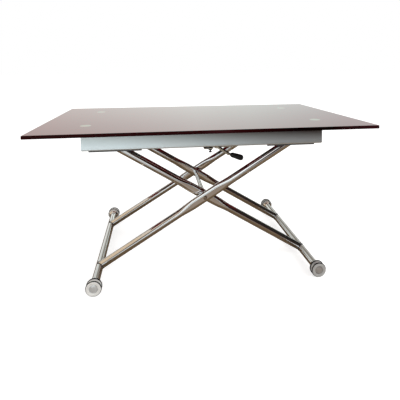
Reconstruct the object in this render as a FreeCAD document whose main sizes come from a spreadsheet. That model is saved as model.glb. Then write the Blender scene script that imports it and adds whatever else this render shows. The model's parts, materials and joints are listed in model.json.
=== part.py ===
"""A lift-top table: a glass top on a box frame, carried by two pairs of crossed legs on rollers."""
import FreeCAD, Part
import os
import re

import Sketcher

# Driving sizes, in millimetres and degrees

SIZES = [
    ("top_length", 1200, "glass, along the table"),
    ("top_width", 700, "glass, across the table"),
    ("glass_thick", 12, "glass"),
    ("glass_corner", 2.5, "radius of the glass corners, seen from above"),
    ("glass_arris", 1.5, "bevel round the edges of the glass"),
    ("pad_dia", 40, "disc bonded under the glass"),
    ("pad_thick", 5, "disc bonded under the glass"),
    ("pad_inset", 42, "middle of a disc, from the side of the apron"),
    ("pad_screw_dia", 8, "screw that holds a disc to its end rail"),
    ("pad_screw_grip", 4, "length of that screw inside the disc"),
    ("pad_screw_head_dia", 13, "head of that screw"),
    ("pad_screw_head", 5, "height of that head"),
    ("frame_length", 888, "apron, outside"),
    ("frame_width", 464, "apron, outside"),
    ("rail_height", 67, "apron rail"),
    ("rail_flange", 20, "width of the rail's top and bottom flanges"),
    ("rail_wall", 2, "sheet of the rail"),
    ("rail_bend", 5, "outer radius of the rail's bends"),
    ("cross_width", 40, "cross rail, along the table"),
    ("cross_gap", 7, "cross rail above the gas spring"),
    ("cross_wall", 2, "sheet of the cross rail"),
    ("cross_end_gap", 12, "outer cross rails to the ends of tracks and plates"),
    ("cross_mid_x", 30, "middle of the cross rail beside the release shaft"),
    ("leg_angle", 31.25, "legs above the floor as the table stands"),
    ("lower_arm", 465.5, "roller axle to the crossing"),
    ("axle_inset", 63.4, "top axles, from the outer ends of tracks and plates"),
    ("axle_drop", 55, "top of the frame down to the top axles"),
    ("leg_dia", 29, "leg tube where it is round"),
    ("leg_wall", 2, "leg tube"),
    ("leg_flat_tall", 37, "leg tube where it is pressed flat"),
    ("leg_flat_wide", 19.2, "leg tube where it is pressed flat"),
    ("leg_top_tall", 32, "leg tube near its top"),
    ("leg_top_wide", 26, "leg tube near its top"),
    ("leg_flat_half", 45, "half the length of the flat stretch"),
    ("leg_blend", 75, "length over which the flat stretch turns round"),
    ("leg_end_gap", 5, "start of a leg tube beyond the axis that it is welded to"),
    ("outer_leg_inset", 37.5, "outer leg, from the inner edge of the rail beside it"),
    ("leg_spacing", 27.5, "outer leg to inner leg"),
    ("sleeve_dia", 30, "sleeve across the top of a leg"),
    ("sleeve_length", 34, "sleeve across the top of a leg"),
    ("bush_dia", 20, "bush inside that sleeve"),
    ("axle_dia", 16, "both top axles"),
    ("run_gap", 0.05, "clearance all round a turning pin"),
    ("side_gap", 0.3, "clearance beside a moving piece"),
    ("stretcher_dia", 16, "tube between the inner legs at the crossing"),
    ("pivot_bush_dia", 14, "bush through an outer leg at the crossing"),
    ("pivot_bush_proud", 0.3, "bush beyond either face of that leg"),
    ("pivot_bolt_dia", 10, "bolt through that bush"),
    ("pivot_bolt_depth", 14, "bolt inside the stretcher"),
    ("pivot_head_dia", 15, "head of that bolt"),
    ("pivot_head", 4.5, "height of that head"),
    ("pivot_socket_dia", 6, "driving socket in that head"),
    ("pivot_socket_depth", 2.5, "driving socket in that head"),
    ("foot_dia", 28, "foot bar"),
    ("foot_wall", 2, "foot bar"),
    ("foot_half", 271, "half the length of the foot bar's tube"),
    ("hub_length", 19.5, "flared hub at the end of a foot bar"),
    ("hub_dia", 43, "flared hub, wide end"),
    ("hub_rim", 4, "straight rim at the wide end of the hub"),
    ("hub_plug", 15, "hub inside the foot bar's tube"),
    ("roller_axle_dia", 10, "axle inside a foot bar"),
    ("roller_radius", 27, "roller, over its rubber rings"),
    ("roller_width", 24.5, "roller"),
    ("roller_gap", 0.5, "roller to its hub"),
    ("roller_web", 1.25, "roller between the end of its axle and the stem of its cap"),
    ("rim_below_ring", 2.2, "rubber ring stands proud of the rim by this"),
    ("rim_round", 1.2, "rounded edge of the rim"),
    ("ring_thick", 4.6, "rubber ring"),
    ("ring_inset", 3.8, "middle of a ring, from the side of the roller that is nearer"),
    ("recess_dia", 30, "round recess in the roller's face"),
    ("recess_depth", 3.7, "round recess in the roller's face"),
    ("cap_gap", 0.3, "domed cap to the wall of that recess"),
    ("cap_edge", 1.5, "straight edge of the cap, on the floor of that recess"),
    ("cap_rise", 3.2, "dome of the cap, above its straight edge"),
    ("cap_stem_dia", 6, "stem of the cap in the roller"),
    ("cap_stem", 2.5, "stem of the cap in the roller"),
    ("plate_wall", 3, "slide tracks, pivot plates and lever bracket"),
    ("plate_skirt", 5, "webs of tracks and plates, below their lower lips"),
    ("plate_inner_x", 235, "inner end of tracks and plates, from the middle"),
    ("plate_end_gap", 2, "outer end of tracks and plates to the end rail"),
    ("track_lip", 19, "depth of the slide track's channel"),
    ("pivot_lip", 15, "stiffening lip of a pivot plate"),
    ("block_length", 24, "slide block"),
    ("block_height", 24, "slide block"),
    ("block_side_gap", 0.4, "slide block to the back of its track"),
    ("block_reach", 4, "slide axle stops short of the back of its track by this"),
    ("spacer_dia", 24, "spacer tube on a top axle"),
    ("clip_dia", 22, "retaining ring on the fixed top axle"),
    ("clip_thick", 1.2, "retaining ring on the fixed top axle"),
    ("gas_dia", 28, "gas spring cylinder"),
    ("gas_bore", 24, "gas spring cylinder"),
    ("gas_mouth", 6, "cylinder beyond its left clamp"),
    ("gas_shoulder", 3, "closed end of the cylinder to its right clamp"),
    ("gas_end_wall", 6, "closed end of the cylinder"),
    ("gland_length", 14, "guide of the rod in the cylinder's mouth"),
    ("rod_dia", 10, "gas spring rod"),
    ("piston_rest", 79.4, "middle of the piston as the table stands, from the gland"),
    ("piston_length", 12, "piston on the rod"),
    ("piston_gap", 0.3, "piston to the bore"),
    ("eye_dia", 28, "eye on the slide axle"),
    ("eye_width", 24, "eye on the slide axle"),
    ("eye_neck_dia", 16, "neck of the eye, round the rod"),
    ("eye_neck_reach", 30, "end of the neck, from the slide axle"),
    ("rod_start", 18, "start of the rod, from the slide axle"),
    ("clamp_wall", 6, "plate that holds the cylinder"),
    ("clamp_width", 44, "plate that holds the cylinder"),
    ("clamp_below", 20, "that plate, below the cylinder's axis"),
    ("clamp_offset", 12, "right clamp, to the left of its cross rail's middle"),
    ("stud_dia", 14, "threaded stud at the closed end of the cylinder"),
    ("stud_proud", 3, "stud beyond its nut"),
    ("nut_dia", 24, "nut on the stud, across its corners"),
    ("nut_height", 7, "nut on the stud"),
    ("valve_dia", 5, "valve pin in the stud"),
    ("valve_inside", 20, "valve pin inside the stud"),
    ("shaft_offset", 10, "release shaft, to the right of its cross rail's middle"),
    ("shaft_below", 15, "release shaft, below the top axles"),
    ("shaft_dia", 8, "release shaft"),
    ("shaft_proud", 2, "release shaft in front of the lever's hub"),
    ("shaft_hub_dia", 18, "hubs on the release shaft"),
    ("paddle_thick", 8, "paddle that presses the valve pin"),
    ("paddle_width", 12, "that paddle, across the table"),
    ("paddle_proud", 6, "top of the paddle, above the valve pin's axis"),
    ("bearing_wall", 4, "plate that carries the inner end of the shaft"),
    ("bearing_gap", 1, "that plate, beside the right clamp"),
    ("bearing_below", 10, "that plate, below the shaft"),
    ("bracket_left", 46, "lever bracket, to the left of the shaft"),
    ("bracket_right", 65, "lever bracket, to the right of the shaft"),
    ("bracket_below", 9, "lever bracket, below the shaft"),
    ("bracket_back", 11, "web of the bracket, behind the middle of the lever"),
    ("bracket_foot_gap", 12, "end of the bracket's foot, to the left of the shaft"),
    ("bracket_lug", 19, "lug of the bracket against the front rail, along the table"),
    ("bracket_lug_above", 9, "top of that lug, above the bottom of the apron"),
    ("lever_inset", 11, "middle of the lever, from the inner edge of the front rail"),
    ("lever_thick", 4, "lever bar"),
    ("lever_tall", 11, "lever bar"),
    ("lever_hub_width", 12, "hub of the lever on the shaft"),
    ("lever_slope", 34, "first stretch of the lever, below level"),
    ("lever_run", 57, "first stretch of the lever"),
    ("grip_slope", 19, "second stretch and grip, below level"),
    ("tang_short", 14, "second stretch of the lever stops short of the grip's end by this"),
    ("tang_tall", 8, "second stretch of the lever"),
    ("tail_past_stop", 4, "tail of the lever, beyond the middle of the stop screw"),
    ("tail_tall", 8, "tail of the lever"),
    ("tail_above", 4, "middle of the tail, above the shaft"),
    ("grip_start", 8, "start of the grip, from the bend"),
    ("grip_length", 52, "grip"),
    ("grip_thin_dia", 13, "grip beside the bend"),
    ("grip_shoulder", 10, "stretch over which the grip swells"),
    ("grip_shoulder_dia", 19, "grip at the end of that stretch"),
    ("grip_thick_dia", 22, "grip where it is widest"),
    ("grip_end_flat", 1, "flat spot at the round end of the grip"),
    ("stop_offset", 22, "stop screw, to the left of the shaft"),
    ("stop_dia", 6, "stop screw"),
    ("stop_reach", 14, "stop screw below the bracket's foot"),
    ("stop_tip", 0.5, "stop screw above the bracket's foot"),
    ("stop_foot_dia", 12, "flange at the foot of the stop screw"),
    ("stop_foot", 2.5, "flange at the foot of the stop screw"),
    ("rest_pin_dia", 5, "pin of the bracket that the tail rests under"),
]

# Places that follow from the driving sizes

DERIVED = [
    ("foot_x", "lower_arm * cos(leg_angle)", "roller axles, from the middle"),
    ("pivot_z", "roller_radius + lower_arm * sin(leg_angle)", "crossing of the legs"),
    ("plate_outer_x", "frame_length / 2 - rail_flange - plate_end_gap", "outer ends of tracks and plates"),
    ("axle_x", "plate_outer_x - axle_inset", "top axles, from the middle"),
    ("upper_arm", "axle_x / cos(leg_angle)", "crossing to the top axle"),
    ("axle_z", "pivot_z + upper_arm * sin(leg_angle)", "top axles"),
    ("frame_top", "axle_z + axle_drop", "top of the apron"),
    ("frame_bottom", "frame_top - rail_height", "bottom of the apron"),
    ("glass_bottom", "frame_top + pad_thick", "underside of the glass"),
    ("leg_length", "lower_arm + upper_arm", "roller axle to top axle"),
    ("pad_x", "frame_length / 2 - rail_flange / 2", "discs, on the middle of the end rails"),
    ("pad_y", "frame_width / 2 - pad_inset", "discs, from the middle of the table"),
    ("flange_y", "frame_width / 2 - rail_flange", "inner edges of the long rails"),
    ("outer_leg_y", "flange_y - outer_leg_inset", "outer legs, from the middle of the table"),
    ("inner_leg_y", "outer_leg_y - leg_spacing", "inner legs, from the middle of the table"),
    ("plate_y", "flange_y - plate_wall", "inner faces of tracks, plates and bracket"),
    ("plate_bottom", "axle_z - block_height / 2 - side_gap - plate_wall",
     "underside of the lower lips of tracks and plates"),
    ("skirt_bottom", "plate_bottom - plate_skirt", "lower edges of the webs of tracks and plates"),
    ("cross_top", "frame_top - rail_wall", "top of the cross rails, under the rails' flanges"),
    ("cross_bottom", "axle_z + gas_dia / 2 + cross_gap", "bottom of the cross rails"),
    ("cross_height", "cross_top - cross_bottom", "cross rails"),
    ("cross_right_x", "plate_inner_x - cross_end_gap - cross_width / 2", "middle of the right cross rail"),
    ("cross_left_x", "-cross_right_x", "middle of the left cross rail"),
    ("clamp_left_x", "cross_left_x", "middle of the left clamp"),
    ("clamp_right_x", "cross_mid_x - clamp_offset", "middle of the right clamp"),
    ("gas_left_x", "clamp_left_x - clamp_wall / 2 - gas_mouth", "open end of the cylinder"),
    ("gas_right_x", "clamp_right_x - clamp_wall / 2 - gas_shoulder", "closed end of the cylinder"),
    ("piston_x", "gas_left_x + gland_length + piston_rest", "middle of the piston"),
    ("stud_end_x", "clamp_right_x + clamp_wall / 2 + nut_height + stud_proud", "end of the stud"),
    ("shaft_x", "cross_mid_x + shaft_offset", "release shaft, from the middle of the table"),
    ("stop_x", "shaft_x - stop_offset", "stop screw, from the middle of the table"),
    ("lever_y", "lever_inset - flange_y", "middle of the lever"),
    ("bearing_y", "-clamp_width / 2 - bearing_gap - bearing_wall / 2",
     "middle of the shaft's inner bearing"),
    ("cross_reach", "frame_width / 2 - rail_bend", "ends of the cross rails, short of the rails' bends"),
    ("rim_radius", "roller_radius - rim_below_ring", "roller body"),
    ("ring_radius", "roller_radius - ring_thick / 2", "middle of the rubber ring's section"),
    ("cap_dia", "recess_dia - 2 * cap_gap", "domed cap in the roller's face"),
    ("dome_radius", "(cap_dia * cap_dia / 4 + cap_rise * cap_rise) / (2 * cap_rise)", "dome of that cap"),
    ("hub_end_y", "foot_half + hub_length", "wide end of the hub"),
    ("roller_inner_y", "hub_end_y + roller_gap", "inner side of the roller"),
    ("roller_outer_y", "roller_inner_y + roller_width", "face of the roller"),
    ("recess_y", "roller_outer_y - recess_depth", "floor of the recess in that face"),
    ("stem_floor_y", "recess_y - cap_stem - run_gap", "bottom of the hole for the cap's stem"),
    ("bore_end_y", "stem_floor_y - roller_web", "end of the roller's axle and of its bore"),
    ("shaft_z", "axle_z - shaft_below", "release shaft"),
    ("bracket_bottom", "shaft_z - bracket_below", "lower edge of the lever bracket"),
    ("outer_face_y", "outer_leg_y + leg_flat_wide / 2", "outer face of the outer leg at the crossing"),
    ("gap_face_y", "outer_leg_y - leg_flat_wide / 2", "inner face of the outer leg at the crossing"),
    ("stretcher_end_y", "gap_face_y - pivot_bush_proud - side_gap", "end of the stretcher"),
    ("slide_end_y", "plate_y - block_reach", "end of the sliding top axle"),
    ("bend_x", "shaft_x + lever_run * cos(lever_slope)", "bend of the lever"),
    ("bend_z", "shaft_z - lever_run * sin(lever_slope)", "bend of the lever"),
    ("tail_length", "stop_offset + tail_past_stop", "tail of the lever"),
    ("grip_end", "grip_start + grip_length", "end of the grip, from the bend"),
    ("tang_length", "grip_end - tang_short", "second stretch of the lever"),
    ("grip_round", "(grip_thick_dia - grip_end_flat) / 2", "radius of the grip's round end"),
]

doc = FreeCAD.newDocument("lift_top_table")
sheet = doc.addObject("Spreadsheet::Sheet", "sizes")
ALIASES = [row[0] for row in SIZES + DERIVED]
AROUND_Y = FreeCAD.Vector(0, 1, 0)
ALONG = {
    "X": FreeCAD.Rotation(FreeCAD.Vector(0, 1, 0), 90),
    "Y": FreeCAD.Rotation(FreeCAD.Vector(1, 0, 0), -90),
    "Z": FreeCAD.Rotation(),
}
nodes = []


def fill_sheet():
    """Writes the driving sizes as numbers, and the places that follow from them as formulas."""
    cells = [(alias, str(number), note) for alias, number, note in SIZES]
    cells += [(alias, "=" + formula, note) for alias, formula, note in DERIVED]
    for row, (alias, content, note) in enumerate(cells, start=1):
        sheet.set(f"A{row}", alias)
        sheet.set(f"B{row}", content)
        sheet.set(f"C{row}", note)
        sheet.setAlias(f"B{row}", alias)
    doc.recompute()


def formula(text):
    """The same formula with each size's name led by the sheet's name."""
    def lead(word):
        return "sizes." + word.group() if word.group() in ALIASES else word.group()
    return re.sub(r"[A-Za-z_][A-Za-z_0-9]*", lead, str(text))


def value(text):
    """What a formula of sizes comes to."""
    return float(sheet.evalExpression(formula(text)))


def bind(item, **sizes):
    for name, text in sizes.items():
        item.setExpression(name, formula(text))
    return item


def place(item, x=0, y=0, z=0):
    for axis, text in (("x", x), ("y", y), ("z", z)):
        item.setExpression("Placement.Base." + axis, formula(text))
    return item


def tilt(item, degrees):
    """Turns an item about the table's Y axis: positive takes up towards the right."""
    item.Placement = FreeCAD.Placement(FreeCAD.Vector(), FreeCAD.Rotation(AROUND_Y, 10))
    item.setExpression("Placement.Rotation.Angle", formula(degrees))
    return item


def keep(label, item):
    """Names an item as a piece of the table."""
    item.Label = label
    nodes.append(item)
    return item


def block(name, length, width, height, x, y, z):
    """A box from its lowest corner."""
    item = bind(doc.addObject("Part::Box", name), Length=length, Width=width, Height=height)
    return place(item, x, y, z)


def rod(name, diameter, length, x, y, z, along="Y"):
    """A round bar that starts at a point and runs along an axis."""
    item = bind(doc.addObject("Part::Cylinder", name), Radius=f"({diameter}) / 2", Height=length)
    item.Placement = FreeCAD.Placement(FreeCAD.Vector(), ALONG[along])
    return place(item, x, y, z)


def outward_rod(name, diameter, length, x, y, z, way):
    """A round bar along Y that starts at a distance from the middle and runs outwards, on side +1 or -1."""
    start = f"{y}" if way > 0 else f"-({y}) - ({length})"
    return rod(name, diameter, length, x, start, z)


def cone(name, start_dia, end_dia, length, x, y, z, toward):
    """A taper that starts at a point and runs along Y, toward +1 or -1."""
    item = doc.addObject("Part::Cone", name)
    bind(item, Radius1=f"({start_dia}) / 2", Radius2=f"({end_dia}) / 2", Height=length)
    turn = FreeCAD.Rotation(FreeCAD.Vector(1, 0, 0), -90 * toward)
    item.Placement = FreeCAD.Placement(FreeCAD.Vector(), turn)
    return place(item, x, y, z)


def fuse(name, *pieces):
    item = doc.addObject("Part::MultiFuse", name)
    item.Shapes = list(pieces)
    item.Refine = True
    return item


def cut(name, base, *tools):
    item = doc.addObject("Part::Cut", name)
    item.Base = base
    item.Tool = tools[0] if len(tools) == 1 else fuse(name + "_tools", *tools)
    item.Refine = True
    return item


def group(name, *pieces):
    item = doc.addObject("Part::Compound", name)
    item.Links = list(pieces)
    return item


def tube(name, outer, inner, length, x, y, z, along="Y"):
    """A tube from a point along an axis."""
    return cut(name, rod(name + "_outer", outer, length, x, y, z, along),
               rod(name + "_inner", inner, length, x, y, z, along))


def origin_plane(body, role):
    return next(item for item in body.Origin.OriginFeatures if item.Role == role)


def outline(body, name, role, corners, offset=0):
    """A closed sketch of straight lines, each corner tied to the sheet."""
    sketch = body.newObject("Sketcher::SketchObject", name)
    sketch.AttachmentSupport = (origin_plane(body, role), [""])
    sketch.MapMode = "FlatFace"
    sketch.setExpression("AttachmentOffset.Base.z", formula(offset))
    points = [FreeCAD.Vector(value(x), value(y), 0) for x, y in corners]
    for index, point in enumerate(points):
        sketch.addGeometry(Part.LineSegment(point, points[(index + 1) % len(points)]))
    for index, (x, y) in enumerate(corners):
        sketch.addConstraint(Sketcher.Constraint("Coincident", index - 1 if index else len(corners) - 1, 2,
                                                 index, 1))
        for kind, text in (("DistanceX", x), ("DistanceY", y)):
            number = sketch.addConstraint(Sketcher.Constraint(kind, -1, 1, index, 1, value(text)))
            sketch.setExpression(f"Constraints[{number}]", formula(text))
    return sketch


def pad(body, name, sketch, length, symmetric=False):
    item = body.newObject("PartDesign::Pad", name)
    item.Profile = sketch
    item.setExpression("Length", formula(length))
    item.SideType = "Symmetric" if symmetric else "One side"
    doc.recompute()
    return item


def edges_where(shape, test):
    """Names of the edges whose middle point and direction pass a test."""
    found = []
    for index, edge in enumerate(shape.Edges, start=1):
        middle = edge.valueAt((edge.FirstParameter + edge.LastParameter) / 2)
        ends = edge.Vertexes[-1].Point - edge.Vertexes[0].Point
        if test(middle, ends):
            found.append(f"Edge{index}")
    return found


def round_edges(body, name, base, edges, radius, kind="PartDesign::Fillet"):
    item = body.newObject(kind, name)
    item.Base = (base, edges)
    item.setExpression("Size" if kind.endswith("Chamfer") else "Radius", formula(radius))
    doc.recompute()
    return item


def same(first, second, slack=1e-4):
    return abs(first - second) < slack


# Glass top, with its discs and their screws

def make_top():
    body = doc.addObject("PartDesign::Body", "glass_body")
    half_x, half_y = "top_length / 2", "top_width / 2"
    corners = [(f"-{half_x}", f"-{half_y}"), (half_x, f"-{half_y}"), (half_x, half_y),
               (f"-{half_x}", half_y)]
    glass_outline = outline(body, "glass_outline", "XY_Plane", corners, "glass_bottom")
    sheet_of_glass = pad(body, "glass_pad", glass_outline, "glass_thick")
    upright = edges_where(sheet_of_glass.Shape, lambda middle, ends: same(ends.x, 0) and same(ends.y, 0))
    rounded = round_edges(body, "glass_corners", sheet_of_glass, upright, "glass_corner")
    low, high = value("glass_bottom"), value("glass_bottom + glass_thick")
    rims = edges_where(rounded.Shape, lambda middle, ends: same(middle.z, low) or same(middle.z, high))
    round_edges(body, "glass_bevel", rounded, rims, "glass_arris", "PartDesign::Chamfer")
    keep("glass_top", body)

    pads, screws = [], []
    for index, (side, end) in enumerate([(-1, -1), (1, -1), (-1, 1), (1, 1)]):
        x, y = f"{side} * pad_x", f"{end} * pad_y"
        disc = rod(f"disc_{index}", "pad_dia", "pad_thick", x, y, "frame_top", "Z")
        thread = rod(f"disc_hole_{index}", "pad_screw_dia", "pad_screw_grip", x, y, "frame_top", "Z")
        pads.append(cut(f"pad_{index}", disc, thread))
        shank = rod(f"shank_{index}", "pad_screw_dia", "pad_screw_grip + rail_wall", x, y,
                    "frame_top - rail_wall", "Z")
        head = rod(f"head_{index}", "pad_screw_head_dia", "pad_screw_head", x, y,
                   "frame_top - rail_wall - pad_screw_head", "Z")
        screws.append(fuse(f"pad_screw_{index}", shank, head))
    keep("glass_pads", group("pads", *pads))
    keep("pad_screws", group("pad_screw_group", *screws))


# Apron: four channels of bent sheet, mitred at the corners and open to the inside

def make_rail(name, length, width, turn):
    """A channel along its own X axis, with its web at the outside, then turned into place."""
    body = doc.addObject("PartDesign::Body", name + "_body")
    out, lip = f"-({width}) / 2", f"-({width}) / 2 + rail_flange"
    web = f"{out} + rail_wall"
    low, high = "frame_bottom", "frame_top"
    profile = [(out, low), (lip, low), (lip, f"{low} + rail_wall"), (web, f"{low} + rail_wall"),
               (web, f"{high} - rail_wall"), (lip, f"{high} - rail_wall"), (lip, high), (out, high)]
    channel = pad(body, name + "_pad", outline(body, name + "_profile", "YZ_Plane", profile), length, True)
    outside = value(out)
    inside = value(web)

    def bend_at(y):
        return lambda middle, ends: same(ends.y, 0) and same(ends.z, 0) and same(middle.y, y)

    bent = round_edges(body, name + "_bends", channel, edges_where(channel.Shape, bend_at(outside)),
                       "rail_bend")
    inner = edges_where(bent.Shape, bend_at(inside))
    bent = round_edges(body, name + "_inner_bends", bent, inner, "rail_bend - rail_wall")
    end = f"({length}) / 2"
    for side in (1, -1):
        mitre = [(f"{side} * {end}", out), (f"{side} * ({end} - rail_flange)", lip),
                 (f"{side} * {end}", lip)]
        pocket = body.newObject("PartDesign::Pocket", f"{name}_mitre_{'left' if side < 0 else 'right'}")
        pocket.Profile = outline(body, pocket.Name + "_outline", "XY_Plane", mitre)
        pocket.Type = "ThroughAll"
        pocket.Reversed = True
        before = body.Shape.Volume
        doc.recompute()
        if body.Shape.Volume >= before:
            raise ValueError(f"{pocket.Name} cuts nothing")
    body.Placement = FreeCAD.Placement(FreeCAD.Vector(), FreeCAD.Rotation(FreeCAD.Vector(0, 0, 1), turn))
    return body


def make_apron():
    for label, turn in (("apron_front", 0), ("apron_back", 180)):
        keep(label, make_rail(label, "frame_length", "frame_width", turn))
    for label, turn, side in (("apron_left", 270, -1), ("apron_right", 90, 1)):
        rail = make_rail(label, "frame_width", "frame_length", turn)
        holes = [rod(f"{label}_hole_{end}", "pad_screw_dia", "rail_wall", f"{side} * pad_x",
                     f"{way} * pad_y", "frame_top - rail_wall", "Z")
                 for end, way in (("front", -1), ("back", 1))]
        keep(label, cut(label + "_drilled", rail, *holes))
    for end in ("left", "mid", "right"):
        label, x = f"cross_rail_{end}", f"cross_{end}_x"
        body = block(label + "_body", "cross_width", "2 * cross_reach", "cross_height",
                     f"{x} - cross_width / 2", "-cross_reach", "cross_bottom")
        hollow = block(label + "_hollow", "cross_width - 2 * cross_wall", "2 * cross_reach",
                       "cross_height - cross_wall", f"{x} - cross_width / 2 + cross_wall", "-cross_reach",
                       "cross_bottom")
        keep(label, cut(label + "_channel", body, hollow))


# Slide tracks at the left, pivot plates and the fixed top axle at the right

def make_tracks():
    length = "plate_outer_x - plate_inner_x"
    for label, side in (("front", -1), ("back", 1)):
        web_y = "-flange_y" if side < 0 else "plate_y"
        lip_y = "-plate_y" if side < 0 else "plate_y - track_lip"
        web = block(f"track_web_{label}", length, "plate_wall", "frame_top - skirt_bottom",
                    "-plate_outer_x", web_y, "skirt_bottom")
        lips = [block(f"track_lip_{label}_{spot}", length, "track_lip", "plate_wall", "-plate_outer_x",
                      lip_y, z)
                for spot, z in (("low", "plate_bottom"), ("high", "axle_z + block_height / 2 + side_gap"))]
        stops = [block(f"track_stop_{label}_{spot}", "plate_wall", "track_lip",
                       "block_height + 2 * side_gap", x, lip_y, "axle_z - block_height / 2 - side_gap")
                 for spot, x in (("outer", "-plate_outer_x"), ("inner", "-plate_inner_x - plate_wall"))]
        keep(f"slide_track_{label}", fuse(f"track_{label}", web, *lips, *stops))

        lip_y = "-plate_y" if side < 0 else "plate_y - pivot_lip"
        web = block(f"pivot_web_{label}", length, "plate_wall", "frame_top - skirt_bottom",
                    "plate_inner_x", web_y, "skirt_bottom")
        lip = block(f"pivot_lip_{label}", length, "pivot_lip", "plate_wall", "plate_inner_x", lip_y,
                    "plate_bottom")
        hole = rod(f"pivot_hole_{label}", "axle_dia", "plate_wall", "axle_x", web_y, "axle_z")
        keep(f"pivot_plate_{label}", cut(f"pivot_plate_cut_{label}", fuse(f"pivot_fuse_{label}", web, lip),
                                         hole))

    keep("top_axle", rod("top_axle_bar", "axle_dia", "2 * flange_y", "axle_x", "-flange_y", "axle_z"))
    spacer = "plate_y - outer_leg_y - sleeve_length / 2 - side_gap"
    keep("top_axle_spacers", group("top_spacers", *[
        tube(f"top_spacer_{label}", "spacer_dia", "axle_dia", spacer, "axle_x", y, "axle_z")
        for label, y in (("front", "-plate_y"), ("back", f"plate_y - ({spacer})"))]))
    clip_y = "outer_leg_y - sleeve_length / 2 - side_gap"
    keep("top_axle_clips", group("top_clips", *[
        tube(f"top_clip_{label}", "clip_dia", "axle_dia", "clip_thick", "axle_x", y, "axle_z")
        for label, y in (("front", f"-({clip_y})"), ("back", f"{clip_y} - clip_thick"))]))


# Legs: round tubes pressed flat where they cross, welded to a foot bar and to a sleeve

BLEND_STEPS = 4


def leg_sections():
    """Distance up the leg, height and width of its section, at each change of section."""
    sections = [("leg_end_gap", "leg_dia", "leg_dia")]

    def blend(start, from_size, to_size):
        for step in range(BLEND_STEPS + 1):
            along = step / BLEND_STEPS
            share = along * along * (3 - 2 * along)
            sizes = [f"{first} + {share} * ({last} - {first})" for first, last in zip(from_size, to_size)]
            sections.append((f"{start} + {along} * leg_blend", *sizes))

    flat = ("leg_flat_tall", "leg_flat_wide")
    blend("lower_arm - leg_flat_half - leg_blend", ("leg_dia", "leg_dia"), flat)
    blend("lower_arm + leg_flat_half", flat, ("leg_top_tall", "leg_top_wide"))
    sections.append(("leg_length - leg_end_gap", "leg_top_tall", "leg_top_wide"))
    return sections


def leg_loft(name, side, y, inset):
    """A solid through the leg's sections. side is -1 for a leg that stands on the left foot bar."""
    rings = []
    for index, (along, tall, wide) in enumerate(leg_sections()):
        ring = bind(doc.addObject("Part::Ellipse", f"{name}_ring_{index}"),
                    MajorRadius=f"({tall}) / 2 - {inset}", MinorRadius=f"({wide}) / 2 - {inset}")
        tilt(ring, f"{-side} * (90 - leg_angle)")
        place(ring, f"{side} * (foot_x - ({along}) * cos(leg_angle))", y,
              f"roller_radius + ({along}) * sin(leg_angle)")
        rings.append(ring)
    loft = doc.addObject("Part::Loft", name)
    loft.Sections = rings
    loft.Solid = True
    loft.Ruled = True
    return loft


def make_leg(label, side, y, pivot_hole_dia):
    outside = leg_loft(label + "_outside", side, y, "0")
    inside = leg_loft(label + "_inside", side, y, "leg_wall")
    reach = "sleeve_length"
    foot = rod(label + "_foot_cut", "foot_dia", f"2 * {reach}", f"{side} * foot_x", f"{y} - {reach}",
               "roller_radius")
    sleeve = rod(label + "_sleeve_cut", "sleeve_dia", f"2 * {reach}", f"{-side} * axle_x", f"{y} - {reach}",
                 "axle_z")
    hole = rod(label + "_hole", pivot_hole_dia, f"2 * {reach}", 0, f"{y} - {reach}", "pivot_z")
    keep(label, cut(label + "_tube", outside, inside, foot, sleeve, hole))


def make_leg_set(legs, foot, side, leg_y, pivot_hole_dia):
    """Two legs, their sleeves and bushes, and the foot bar that joins them."""
    x, top_x = f"{side} * foot_x", f"{-side} * axle_x"
    sleeves, bushes = [], []
    for end, way in (("front", -1), ("back", 1)):
        y = f"{way} * {leg_y}"
        make_leg(f"{legs}_leg_{end}", side, y, pivot_hole_dia)
        start = f"{y} - sleeve_length / 2"
        sleeves.append(tube(f"{legs}_sleeve_{end}", "sleeve_dia", "bush_dia", "sleeve_length", top_x, start,
                            "axle_z"))
        bushes.append(tube(f"{legs}_bush_{end}", "bush_dia", "axle_dia + 2 * run_gap", "sleeve_length",
                           top_x, start, "axle_z"))
    keep(f"{legs}_leg_sleeves", group(f"{legs}_sleeves", *sleeves))
    keep(f"{legs}_leg_bushes", group(f"{legs}_bushes", *bushes))
    keep(f"{foot}_foot_bar", tube(f"{foot}_bar", "foot_dia", "foot_dia - 2 * foot_wall", "2 * foot_half", x,
                                  "-foot_half", "roller_radius"))
    hubs = []
    for end, way in (("front", -1), ("back", 1)):
        flare = cone(f"{foot}_flare_{end}", "foot_dia", "hub_dia", "hub_length - hub_rim", x,
                     f"{way} * foot_half", "roller_radius", way)
        rim_y = "foot_half + hub_length - hub_rim" if way > 0 else "-foot_half - hub_length"
        rim = rod(f"{foot}_hub_rim_{end}", "hub_dia", "hub_rim", x, rim_y, "roller_radius")
        plug_y = "foot_half - hub_plug" if way > 0 else "-foot_half"
        plug = rod(f"{foot}_plug_{end}", "foot_dia - 2 * foot_wall", "hub_plug", x, plug_y, "roller_radius")
        bore = rod(f"{foot}_hub_bore_{end}", "roller_axle_dia + 2 * run_gap", "2 * hub_end_y", x,
                   "-hub_end_y", "roller_radius")
        hubs.append(cut(f"{foot}_hub_{end}", fuse(f"{foot}_hub_solid_{end}", flare, rim, plug), bore))
    keep(f"{foot}_foot_hubs", group(f"{foot}_hubs", *hubs))


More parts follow.
